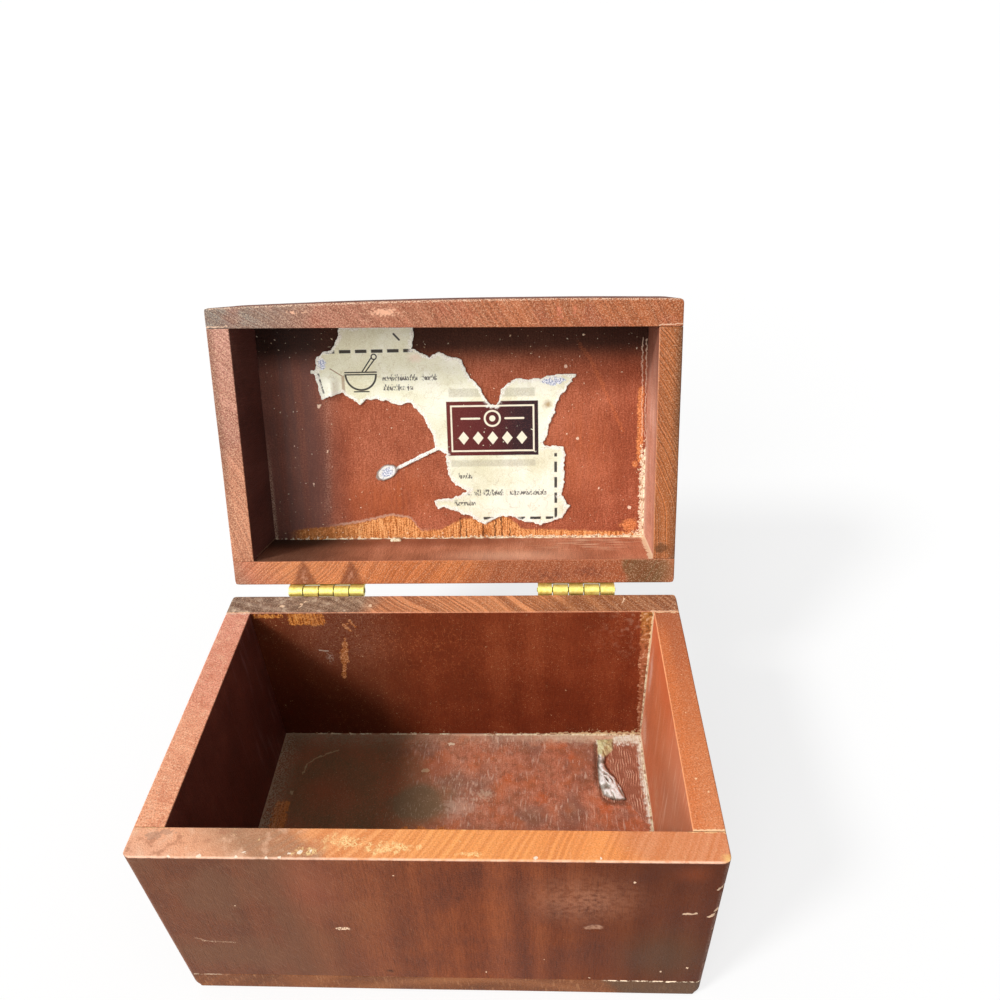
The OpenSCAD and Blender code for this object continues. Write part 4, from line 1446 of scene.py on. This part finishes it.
def torn_gap(x, y):
    """Distance from the torn edge, negative on the paper: the least of those of the outline, of its
    thin neck and of the oval at the neck's end, which is turned to lie along it."""
    ragged = 0.35 * value_noise(x, y, 2.6, 31) + 0.3 * value_noise(x, y, 0.9, 32)
    main = polygon_gap(OUTLINE, x, y) + ragged
    neck = polygon_gap(NECK, x, y) + ragged * 0.3
    lean = math.atan2(NECK[3][1] - NECK[0][1], NECK[3][0] - NECK[0][0])
    along = (x - NECK_END[0]) * math.cos(lean) + (y - NECK_END[1]) * math.sin(lean)
    across = (y - NECK_END[1]) * math.cos(lean) - (x - NECK_END[0]) * math.sin(lean)
    oval = (np.hypot(along / NECK_RADII[0], across / NECK_RADII[1]) - 1) * NECK_RADII[1]
    return np.minimum(np.minimum(main, neck), oval + ragged * 0.4)


def cut_sheet(gap_at, span_x, span_y, cell):
    """A flat sheet cut along a zero line. Cells whose middle is inside are kept, and two that touch
    at a corner only get a third. An outermost point moves by minus gap x slope / slope squared, one
    step of Newton's method towards the line. Gives x, y, gap, the quads and the outer edges."""
    x, y = np.meshgrid(np.arange(*span_x, cell), np.arange(*span_y, cell), indexing="ij")
    gap = gap_at(x, y)
    kept = gap_at(x[:-1, :-1] + cell / 2, y[:-1, :-1] + cell / 2) < 0
    a, b, c, d = kept[:-1, :-1], kept[1:, 1:], kept[1:, :-1], kept[:-1, 1:]
    for _ in range(3):
        c |= a & b & ~c & ~d
        a |= c & d & ~a & ~b
    wide = np.pad(kept, 1)
    around = wide[1:, 1:].astype(int) + wide[:-1, 1:] + wide[1:, :-1] + wide[:-1, :-1]
    slope_x, slope_y = np.gradient(gap, cell)
    steep = np.maximum(slope_x ** 2 + slope_y ** 2, 0.2)
    step = np.clip(gap / steep, -cell, cell) * ((around > 0) & (around < 4)) * 0.6
    used = around > 0
    number = np.cumsum(used).reshape(x.shape) - 1
    corners = [number[:-1, :-1], number[1:, :-1], number[1:, 1:], number[:-1, 1:]]
    beside = [wide[1:-1, :-2], wide[2:, 1:-1], wide[1:-1, 2:], wide[:-2, 1:-1]]
    edges = [np.stack([corners[k][kept & ~beside[k]], corners[k - 3][kept & ~beside[k]]], -1)
             for k in range(4)]
    quads = np.stack([corner[kept] for corner in corners], -1)
    return (x - step * slope_x)[used], (y - step * slope_y)[used], gap[used], quads, np.concatenate(edges)


def keep_values(thing, name, values):
    """Stores one number for each point of both skins of a sheet."""
    stored = thing.data.attributes.new(name, "FLOAT", "POINT")
    stored.data.foreach_set("value", np.tile(values, 2).astype(float))


def closed_sheet(low, high, quads, edges):
    """A closed body from a lower and an upper skin with the same faces, and a strip around."""
    count = len(low)
    strip = np.concatenate([edges, edges[:, ::-1] + count], 1)
    return np.concatenate([low, high]), np.concatenate([quads[:, ::-1], quads + count, strip])

# %% [markdown]
# Paper that was pasted down and half torn off again is never flat. It has ripples, its torn edges
# stand up a little, and at the lower left a flap has come loose and rolled up.

# %% Paper sheet
PAPER_BACK = 0.02
PAPER_THICK = 0.16
FLAP_X = -42.6


def stand_off(x, y, gap):
    """Height of the paper's back over the wood: ripples, a lift that falls off within a millimetre
    from the torn edge, and the roll of the flap, which is a bell curve over x."""
    ripples = 0.12 * (1 + value_noise(x, y, 8.0, 41)) + 0.05 * value_noise(x, y, 2.6, 42)
    near_edge = np.exp(gap / 1.3)
    lift = near_edge * (0.3 + 0.35 * value_noise(x, y, 4.0, 43) + 0.15 * value_noise(x, y, 1.1, 44))
    loose = np.clip((70.5 - y) / 4, 0, 1) * np.clip((-37.5 - x) / 2, 0, 1)
    roll = 2.3 * np.exp(-((x - FLAP_X) / 2.1) ** 2) + 0.7 * np.clip((-44 - x) / 5, 0, 1)
    return PAPER_BACK + np.maximum(ripples + lift, 0) + loose * roll


x, f, gap, quads, edges = cut_sheet(torn_gap, (-54, 45), (10, 90), CELL)
back = np.stack([x, BACK_Y - f, PANEL_Z - stand_off(x, f, gap)], 1)
points, faces = closed_sheet(back, back - np.array([0, 0, PAPER_THICK]), quads, edges)
sheet = add_mesh("torn_clipping", turn_about_pin(points, OPEN), faces.tolist())
facing = surface_normals(points, faces)[len(points) // 2:, 2].mean()
print("paper:", len(faces), "faces, front normals point down by", round(float(facing), 2))
keep_values(sheet, "edge_gap", gap)
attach(sheet, "lid")
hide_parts("pasted_clipping")

# %% [markdown]
# The print is a plain design of this lesson's own: a dashed border, a small drawing of a bowl with
# its pestle, and a dark label with a rosette over a row of lozenges. A line of text is a bar that
# stretched noise breaks up into words. White fibres show along the torn edges, which the distance
# stored on the mesh finds, and where only the paper's under side is left it is blue-grey.

# %% Paper with its print
def dashes(spot, start, along, pitch, share, width):
    """A dashed line along the first or second coordinate: repeats of pitch, `share` of it inked."""
    apart = spot.vector("SUBTRACT", (*start, 0))
    first, second, _ = apart.parts()
    run, across = (first, second) if along == "x" else (second, first)
    beat = (run / pitch).math("FRACT")
    inked = beat.rise(share, share - 0.06) * beat.rise(0.0, 0.06)
    return inked * abs(across).rise(width / 2, width / 2 - 0.15)


def words(t, start_x, end_x, f):
    """A line of print too small to read: a bar as high as small letters, with a few taller strokes,
    broken into words and those into letters."""
    middle = (start_x + end_x) / 2
    half = (end_x - start_x) / 2
    spot = t.spot("xf", t.exact)
    small = block(spot, (middle, f), (half, 0.75), 0.2)
    rarely = noise(join(t.x / 0.6, t.x * 0 + f), 1, 0).rise(0.57, 0.61)
    tall = block(spot, (middle, f + 0.3), (half, 1.25), 0.2) * rarely
    spaces = noise(join(t.x / 2.4, t.x * 0 + f), 1, 0).rise(0.33, 0.37)
    letters = noise(join(t.x / 0.42, t.f / 1.1), 1, 1).rise(0.42, 0.53)
    return most(small, tall) * spaces * letters


def border_and_text(t, spot):
    """Dashes, the bowl and the lines of words."""
    row = dashes(spot, (-44.95, 77.45), "x", 5.65, 0.78, 1.3) * t.x.rise(-45, -44.6) * t.x.rise(-13, -13.4)
    column = dashes(spot, (36.35, 15.95), "f", 5.75, 0.74, 1.15) * t.f.rise(40.6, 40.2)
    foot = dashes(spot, (9.7, 16.3), "x", 5.7, 0.74, 1.15) * t.x.rise(9.6, 9.9) * t.x.rise(35.6, 35.3)
    flap = strokes(spot, 0.9, (-47, 69.8, -46.7, 68.6), (-46.6, 67.9, -46.3, 66.8),
                   (-46.2, 66.2, -45.9, 65.1), (-45.7, 64.3, -45.4, 63.2), (-19.6, 83.2, -17.8, 81.2))
    bowl = most(loop(spot, (-32, 69.4), 5.4, 0.9) * t.f.rise(69.4, 69.1),
                strokes(spot, 0.6, (-37.6, 69.4, -26.4, 69.4), (-37.6, 70.2, -26.4, 70.2),
                        (-34.6, 63.4, -29.4, 63.4)),
                strokes(spot, 0.6, (-31.4, 70.4, -27.8, 75.4), (-30.2, 70.4, -26.8, 74.6)),
                loop(spot, (-27, 75.5), 0.9, 0.6))
    text = most(words(t, -24.5, -5, 67.8), words(t, -24.3, -13.6, 64.4), words(t, 1.2, 6.3, 32),
                words(t, 3.8, 33.1, 25.7), words(t, -0.6, 7.2, 21.9))
    return most(row, column, foot, flap, bowl), text


def label_design(t, spot):
    """The dark label's mask and the mask of its pale motifs: a frame, lozenges and a rosette."""
    label = block(spot, (14, 49.6), (16.4, 9.9), 0.3)
    inner = block(spot, (14, 49.6), (15, 8.5), 0.2) - block(spot, (14, 49.6), (14.4, 7.9), 0.2)
    beat = ((t.x - 14) / 5.2 + 0.5).math("FRACT") - 0.5
    lozenge = (abs(beat) * 5.2 + abs(t.f - 46.2) * 0.8).rise(2.0, 1.8)
    lozenge = lozenge * abs(t.x - 14).rise(12.6, 12.2)
    rosette = most(loop(spot, (14, 53.2), 2.7, 0.9), blot(spot, (14, 53.2), 1.2, 0.2),
                   strokes(spot, 0.9, (3, 53.2, 9.4, 53.2), (18.6, 53.2, 25, 53.2)))
    return label, most(inner, lozenge, rosette)


def paint_paper():
    t = Surface("old_paper", on_lid=True)
    spot = t.spot("xf", t.exact)
    loose = t.spot("xf")
    gap = t.stored("edge_gap")
    tone = t.mottle * 0.5 + t.speck * 0.3 + t.crumb * 0.3
    colour = ramp(tone, (0.2, (222, 216, 182)), (0.5, (236, 233, 206)), (0.8, (246, 244, 226)))
    bands = most(block(spot, (14, 62.4), (15.6, 1.9), 0.8), block(spot, (14, 37), (15.6, 1.6), 0.8))
    crease = abs(noise(t.place, 5, 3) - 0.5).rise(0.012, 0.0)
    # fold: the crease line of the loose flap, and beside it a brown strip that is partly the wood showing
    # under the flap and partly the flap's painted shadow.
    fold = most(stroke(spot, (-42.7, 71.6), (-38.8, 69.1), 0.5, 0.5),
                block(spot, (-38.4, 66), (0.8, 3.4), 0.5) * 0.8)
    bold, text = border_and_text(t, spot)
    label, motifs = label_design(t, spot)
    label = label * t.crumb.rise(0.24, 0.32)
    field = ramp((t.x + 3) / 34, (0.0, (104, 44, 40)), (0.45, (88, 34, 34)), (0.75, (52, 30, 34)),
                 (1.0, (42, 28, 34)))
    oval = blot(spot, (-24.8, 34), (5.5, 4.5), 0.2)
    peeled = most(blot(loose, (-45.8, 73.4), (3.6, 4.2)), blot(loose, (35.5, 66.3), (8.6, 3.4)), oval,
                  t.x.rise(-8.5, -10) * t.f.rise(45, 44))
    fluff = ramp(t.grain, (0.25, (150, 160, 186)), (0.5, (206, 210, 224)), (0.75, (246, 246, 248)))
    torn = t.flaked(gap, 3.2, -1.6, -0.6)
    fibres = ramp(t.speck, (0.0, (206, 196, 178)), (0.4, (246, 242, 228)), (1.0, (255, 252, 244)))
    colour = colour.lay(
        (blot(loose, (33.6, 58), (2.4, 2.2)) * 0.8, (160, 120, 58)),
        (blot(loose, (-12.5, 75), (4, 2.5)) * 0.7, (240, 213, 192)),
        (bands * t.grain.rise(0, 1, 0.35, 0.6), (176, 168, 146)),
        (crease * 0.35, (196, 180, 140)),
        # The flap's crease, and its strip of wood and painted shadow.
        (fold * 0.8, (150, 112, 78)),
        (bold * 0.95, (40, 34, 34)),
        (text * 0.85, (58, 52, 54)),
        (label, field.mix(t.speck.rise(0.6, 1) * 0.2, (150, 90, 80))),
        (motifs * label, (240, 230, 206)),
        (t.flaked(peeled, 1.0), fluff),
        (torn * 0.85, fibres),
        (gap.rise(-0.6, -0.3) * oval * 0.8, (120, 84, 66)))
    height = t.speck * 0.4 + t.crumb * 1.2 - crease * 0.6
    return finish(t, colour, 0.8, height, 0.5, sheen=0.2)


sheet.data.materials.append(paint_paper())

# %% [markdown]
# Glue is the last thing that the box was mended with. Most of it dried on the floor: a thin film
# that shrank into upright wrinkles, a thick lump shaped like a leaf, and a cream-coloured patch. It
# is cut like the paper, and its top is the highest of the three. Each point keeps its share of lump
# and cream, its place on a wrinkle and a painted shade, so the colours follow the shape: the ridges
# of the wrinkles are painted pale as highlights, and the lump is painted dark at its edge as shade
# and pale along its folds and its lower end as highlights.

# %% Glue on the floor
GLUE_FILM = [(55.7, 31.9), (56.6, 35.6), (57.4, 38.2), (67, 38.4), (68, 37), (68, 15.2), (67.9, 1.6),
             (65.5, 3.1), (61.9, 7.3), (59.3, 11.2), (56.5, 19.1), (55.2, 25.4)]
GLUE_LEAF = [(51.6, 36.3), (56.1, 36.3), (56.9, 33), (54.0, 29.7), (53.3, 25.4), (54.6, 22.4), (56.4, 20.4),
             (58.4, 15.8), (59.8, 10.9), (55.4, 10.6), (51.6, 12.7), (50.3, 17.1), (50.2, 25.4), (51, 30.8)]
GLUE_CREAM = [(50.9, 36.3), (57.1, 36.9), (56.8, 31.9), (52.6, 27.5), (50.9, 29.7)]
GLUE_CELL = 0.21
WRINKLE_PITCH = 0.85


def glue_gap(x, y):
    """Distance from the edge of the glue, negative inside: the least of its three parts'."""
    ragged = 0.4 * value_noise(x, y, 1.6, 51) + 0.25 * value_noise(x, y, 0.7, 52)
    parts = [polygon_gap(corners, x, y) for corners in (GLUE_FILM, GLUE_LEAF, GLUE_CREAM)]
    return np.min(parts, 0) + ragged


def dome(corners, x, y, reach):
    """Rises as the square root of the distance in from the edge, up to 1 at `reach`."""
    return np.sqrt(np.clip(-polygon_gap(corners, x, y) / reach, 0, 1))


x, y, gap, quads, edges = cut_sheet(glue_gap, (48, 70), (-1, 39), GLUE_CELL)
wavy = x + 0.9 * value_noise(x * 0.4, y, 4.0, 53) + 0.35 * value_noise(x, y, 1.8, 54)
wrinkle = (0.5 + 0.5 * np.cos(wavy * 2 * math.pi / WRINKLE_PITCH)) ** 2
wrinkle = wrinkle * np.clip(0.6 + value_noise(x, y, 1.6, 55), 0, 1)
folds = 1 - 2.4 * np.abs(value_noise((x + 0.45 * y) * 1.5, y * 0.5, 1.3, 56))
leaf = dome(GLUE_LEAF, x, y, 2.2) * (0.85 + 0.2 * folds + 0.16 * value_noise(x, y, 1.0, 57))
patch = dome(GLUE_CREAM, x, y, 1.4) * (1 + 0.35 * value_noise(x, y, 1.2, 58))
film = dome(GLUE_FILM, x, y, 0.8) * (0.12 + 0.45 * wrinkle)
# shade: painted light and shade of the lump, lighter along its folds and towards its lower end as painted
# highlights.
shade = 0.46 + 0.28 * folds + 0.22 * value_noise(x, y, 2.2, 59) + 0.1 * np.clip(20 - y, 0, 2)
top = FLOOR_Z + np.max([film, 2.1 * leaf, 1.0 * patch, np.full_like(x, 0.08)], 0)
low = np.stack([x, y, np.full_like(x, FLOOR_Z - 0.05)], 1)
points, faces = closed_sheet(low, np.stack([x, y, top], 1), quads, edges)
puddle = add_mesh("dried_glue", points, faces.tolist())
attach(puddle, "base")
leaf_share = np.clip(dome(GLUE_LEAF, x, y, 2.2) * 2.2, 0, 1)
# The painted shade darkens the lump towards its edge.
shade = shade * np.clip(-polygon_gap(GLUE_LEAF, x, y) / 0.9, 0, 1)
patch_share = np.clip(1.6 * dome(GLUE_CREAM, x, y, 1.4), 0, 1)
for name, values in (("leaf", leaf_share), ("shade", shade), ("cream", patch_share), ("wrinkle", wrinkle)):
    keep_values(puddle, name, values)
print("glue on the floor:", len(faces), "faces, up to", round(float(top.max() - FLOOR_Z), 2), "mm high")


def paint_puddle():
    t = Surface("dried_glue")
    share = {name: t.stored(name) for name in ("leaf", "shade", "cream", "wrinkle")}
    # The film is painted paler on the ridges of its wrinkles: painted highlights.
    film = ramp(share["wrinkle"] * 0.8 + t.grain * 0.25, (0.1, (162, 98, 72)), (0.5, (196, 134, 106)),
                (0.9, (240, 200, 170)))
    band = most(t.y.rise(30, 37.8), t.x.rise(63.4, 67.4) * t.y.rise(-4, 20, 0.6, 1))
    bright = t.flaked(band, 1.5, 0.35, 0.95)
    film = film.mix(bright * 0.9, ramp(t.crumb, (0.3, (234, 220, 184)), (0.6, (255, 252, 238))))
    cream = ramp(t.crumb * 0.7 + t.speck * 0.3, (0.25, (190, 174, 118)), (0.5, (228, 220, 162)),
                 (0.75, (246, 242, 204)))
    # The lump's colour follows its painted shade: dark at its edge, near white on its painted highlights.
    lump = ramp(share["shade"] + (t.crumb - 0.5) * 0.6, (0.02, (66, 54, 46)), (0.2, (132, 122, 108)),
                (0.48, (192, 186, 174)), (0.66, (255, 253, 248)))
    colour = film.mix(share["leaf"], lump).mix(share["cream"] * t.y.rise(26, 29), cream)
    height = t.crumb * 1.2 + t.speck * 0.3
    return finish(t, colour, share["leaf"] * -0.3 + 0.6, height, 0.5, sheen=0.45, deep=0.4)


puddle.data.materials.append(paint_puddle())

# %% [markdown]
# The rest of the glue squeezed out of the joints and dried as thin beads in the corners. A bead is a
# round profile carried along a path and squeezed flat, with much noise on its radius, and both its
# ends close to a point.

# %% Beads of glue
BEAD_SIDES = 12


def bead(path, radius, flat, seed, lumps=0.55, steps_per_mm=1.8):
    """A closed tube along a path: at share s of the way its radius is radius x sqrt(1 - (2s - 1)^8)
    x (1 + lumps x noise), and its height is squeezed by `flat` about the path. The faces at its two
    ends are triangles that meet in the end point."""
    path = np.array(path, float)
    legs = np.linalg.norm(np.diff(path, axis=0), axis=1)
    reach = np.concatenate([[0], np.cumsum(legs)])
    count = max(12, int(reach[-1] * steps_per_mm))
    share = (1 - np.cos(np.linspace(0, math.pi, count))) / 2
    middle = np.stack([np.interp(share * reach[-1], reach, path[:, k]) for k in range(3)], 1)
    ahead = np.gradient(middle, axis=0)
    ahead /= np.linalg.norm(ahead, axis=1, keepdims=True)
    up = np.array([1.0, 0, 0]) if abs(ahead[:, 2]).max() > 0.9 else np.array([0, 0, 1.0])
    side = np.cross(ahead, up)
    side /= np.linalg.norm(side, axis=1, keepdims=True)
    lift = np.cross(side, ahead)
    around = np.linspace(0, 2 * math.pi, BEAD_SIDES, endpoint=False)
    s = (share * reach[-1])[:, None]
    rough = 1 + lumps * (value_noise(s + 0 * around, 6 * np.cos(around) + 9 + 0 * s, 2.2, seed)
                         + 0.7 * value_noise(s + 0 * around, 6 * np.sin(around) + 9 + 0 * s, 0.9, seed + 1))
    size = radius * np.sqrt(np.clip(1 - (2 * share - 1) ** 8, 0, 1))[:, None] * rough
    rings = (middle[:, None] + (size * np.cos(around))[..., None] * side[:, None]
             + (size * np.sin(around) * flat)[..., None] * lift[:, None])
    number = np.arange((count - 2) * BEAD_SIDES).reshape(count - 2, BEAD_SIDES)
    after = np.roll(number, -1, 1)
    tube = np.stack([number[:-1], after[:-1], after[1:], number[1:]], -1).reshape(-1, 4)
    caps = [np.stack([after[0], number[0], 0 * number[0] + number.size], -1),
            np.stack([number[-1], after[-1], 0 * number[0] + number.size + 1], -1)]
    return np.concatenate([rings[1:-1].reshape(-1, 3), middle[:1], middle[-1:]]), tube, np.concatenate(caps)


def make_beads(name, body, beads):
    """One object of several beads, each a path, a radius, a flatness and a seed."""
    parts = [bead(*about) for about in beads]
    starts = np.cumsum([0] + [len(points) for points, tube, caps in parts])
    points = np.concatenate([part[0] for part in parts])
    tubes = np.concatenate([part[1] + start for part, start in zip(parts, starts)])
    caps = np.concatenate([part[2] + start for part, start in zip(parts, starts)])
    points = turn_about_pin(points, OPEN) if body == "lid" else points
    thing = add_mesh(name, points, tubes.tolist() + caps.tolist())
    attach(thing, body)
    print(name, len(points), "points")
    return thing


WALL_X = INNER_X - 0.15
WALL_Y = INNER_BACK - 0.15
base_glue = make_beads("base_glue_beads", "base", [
    ([(40, WALL_Y, FLOOR_Z), (52, WALL_Y, FLOOR_Z), (WALL_X, WALL_Y, FLOOR_Z)], 0.42, 0.7, 63),
    ([(8, WALL_Y, FLOOR_Z), (22, WALL_Y, FLOOR_Z), (39, WALL_Y, FLOOR_Z)], 0.28, 0.7, 64),
    ([(-58, WALL_Y, FLOOR_Z), (-30, WALL_Y, FLOOR_Z), (-2, WALL_Y, FLOOR_Z)], 0.24, 0.7, 66),
    ([(WALL_X, 37, FLOOR_Z), (WALL_X, 26, FLOOR_Z), (WALL_X, 14, FLOOR_Z)], 0.4, 0.8, 65),
    ([(WALL_X, 13.4, FLOOR_Z), (WALL_X, 4, FLOOR_Z), (WALL_X, -9, FLOOR_Z)], 0.34, 0.8, 67),
    ([(WALL_X, -10, FLOOR_Z), (WALL_X, -20, FLOOR_Z), (WALL_X, -32, FLOOR_Z)], 0.26, 0.8, 68),
    ([(WALL_X, WALL_Y, FLOOR_Z + 1), (WALL_X, WALL_Y, FLOOR_Z + 22),
      (WALL_X, WALL_Y, FLOOR_Z + 47)], 0.32, 0.9, 69),
])
lid_glue = make_beads("lid_glue_beads", "lid", [
    ([(INNER_LID, BACK_Y - 42, PANEL_Z), (INNER_LID, BACK_Y - 26, PANEL_Z),
      (INNER_LID, BACK_Y - 9, PANEL_Z)], 0.36, 0.7, 71),
    ([(40, LEDGE_Y, PANEL_Z), (56, LEDGE_Y, PANEL_Z), (INNER_LID - 0.2, LEDGE_Y, PANEL_Z)], 0.4, 0.7, 73),
    ([(-50, LEDGE_Y, PANEL_Z), (-10, LEDGE_Y, PANEL_Z), (36, LEDGE_Y, PANEL_Z)], 0.26, 0.7, 74),
    ([(-24.6, LEDGE_Y, PANEL_Z - 2.6), (-20.6, LEDGE_Y, PANEL_Z - 2.4)], 0.9, 0.8, 75),
])


def paint_beads(name, on_lid=False):
    """Dried glue: pale and dusty, with gaps where the wood's brown shows through."""
    t = Surface(name, on_lid)
    tone = t.crumb * 0.7 + t.speck * 0.3
    colour = ramp(tone, (0.3, (190, 162, 120)), (0.5, (240, 226, 190)), (0.72, (252, 246, 226)))
    thin = noise(t.place, 2.0, 3).rise(0.5, 0.42)
    colour = colour.mix(thin * 0.85, (160, 100, 68))
    return finish(t, colour, 0.6, t.crumb, 0.5, sheen=0.3, deep=0.4)


base_glue.data.materials.append(paint_beads("base_glue_beads"))
lid_glue.data.materials.append(paint_beads("lid_glue_beads", on_lid=True))

# %% [markdown]
# The hinges keep their exact shapes. Brass is a metal, so its colour goes into the reflection:
# a greenish yellow here, since the plating is matt and slightly tarnished. Dirt has gathered where
# fingers don't rub it off: between the knuckles, each a fifth of the hinge long, and round the
# screw heads, whose places are read from the screws themselves.

# %% Brass
KNUCKLES = 5
HEAD_RING = 1.9


def screw_places(side, body):
    """Middles of a leaf's screws in the closed box: the mean of the points on each side of the
    hinge's middle."""
    points = node_points(side + "_hinge_" + body + "_screws")
    right = points[:, 0] > points[:, 0].mean()
    return [points[right].mean(0), points[~right].mean(0)]


def paint_brass(side, body, part):
    """Satin brass for the leaf, its screws or the pin."""
    t = Surface("_".join([side, "brass", body, part]), body == "lid")
    pin_box = shut_box(side + "_hinge_pin")
    pitch = (pin_box[1][0] - pin_box[0][0]) / KNUCKLES
    beat = ((t.x - pin_box[0][0]) / pitch).math("FRACT")
    from_pin = join(t.y - PIN[1], t.z - PIN[2]).vector("LENGTH", out=1)
    joint = abs(beat - 0.5).rise(0.44, 0.49) * from_pin.rise(3.2, 2.6)
    colour = ramp(t.speck * 0.3 + t.crumb * 0.7, (0.25, (222, 200, 92)), (0.5, (246, 232, 130)),
                  (0.8, (252, 244, 172)))
    colour = colour.mix(t.mottle * 0.3, (206, 186, 100))
    rings = []
    for x, y, z in screw_places(side, body):
        out = join(t.x - x, t.z - z).vector("LENGTH", out=1)
        rings.append(abs(out - HEAD_RING).rise(0.5, 0.1) if part == "leaf" else out.rise(1.4, 2.0) * 0.6)
    dirt = most(joint, *rings) if part != "pin" else joint
    if part == "screws":
        colour = colour.mix(0.3, (222, 190, 96))
    colour = colour.mix(dirt * t.crumb.rise(0.25, 0.55, 0.4, 0.85), (92, 70, 34))
    plug(t.shader, "Metallic", 0.85)
    return finish(t, colour, t.crumb * 0.25 + 0.42, t.speck, 0.15, sheen=0.5, deep=0.2)


for name, thing in frame["nodes"].items():
    if "_hinge_" in name:
        side = name.split("_")[0]
        part = next(p for p in ("leaf", "screws", "pin") if name.endswith(p))
        thing.data.materials.clear()
        thing.data.materials.append(paint_brass(side, thing["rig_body"], part))
        print(name, "painted as", part)
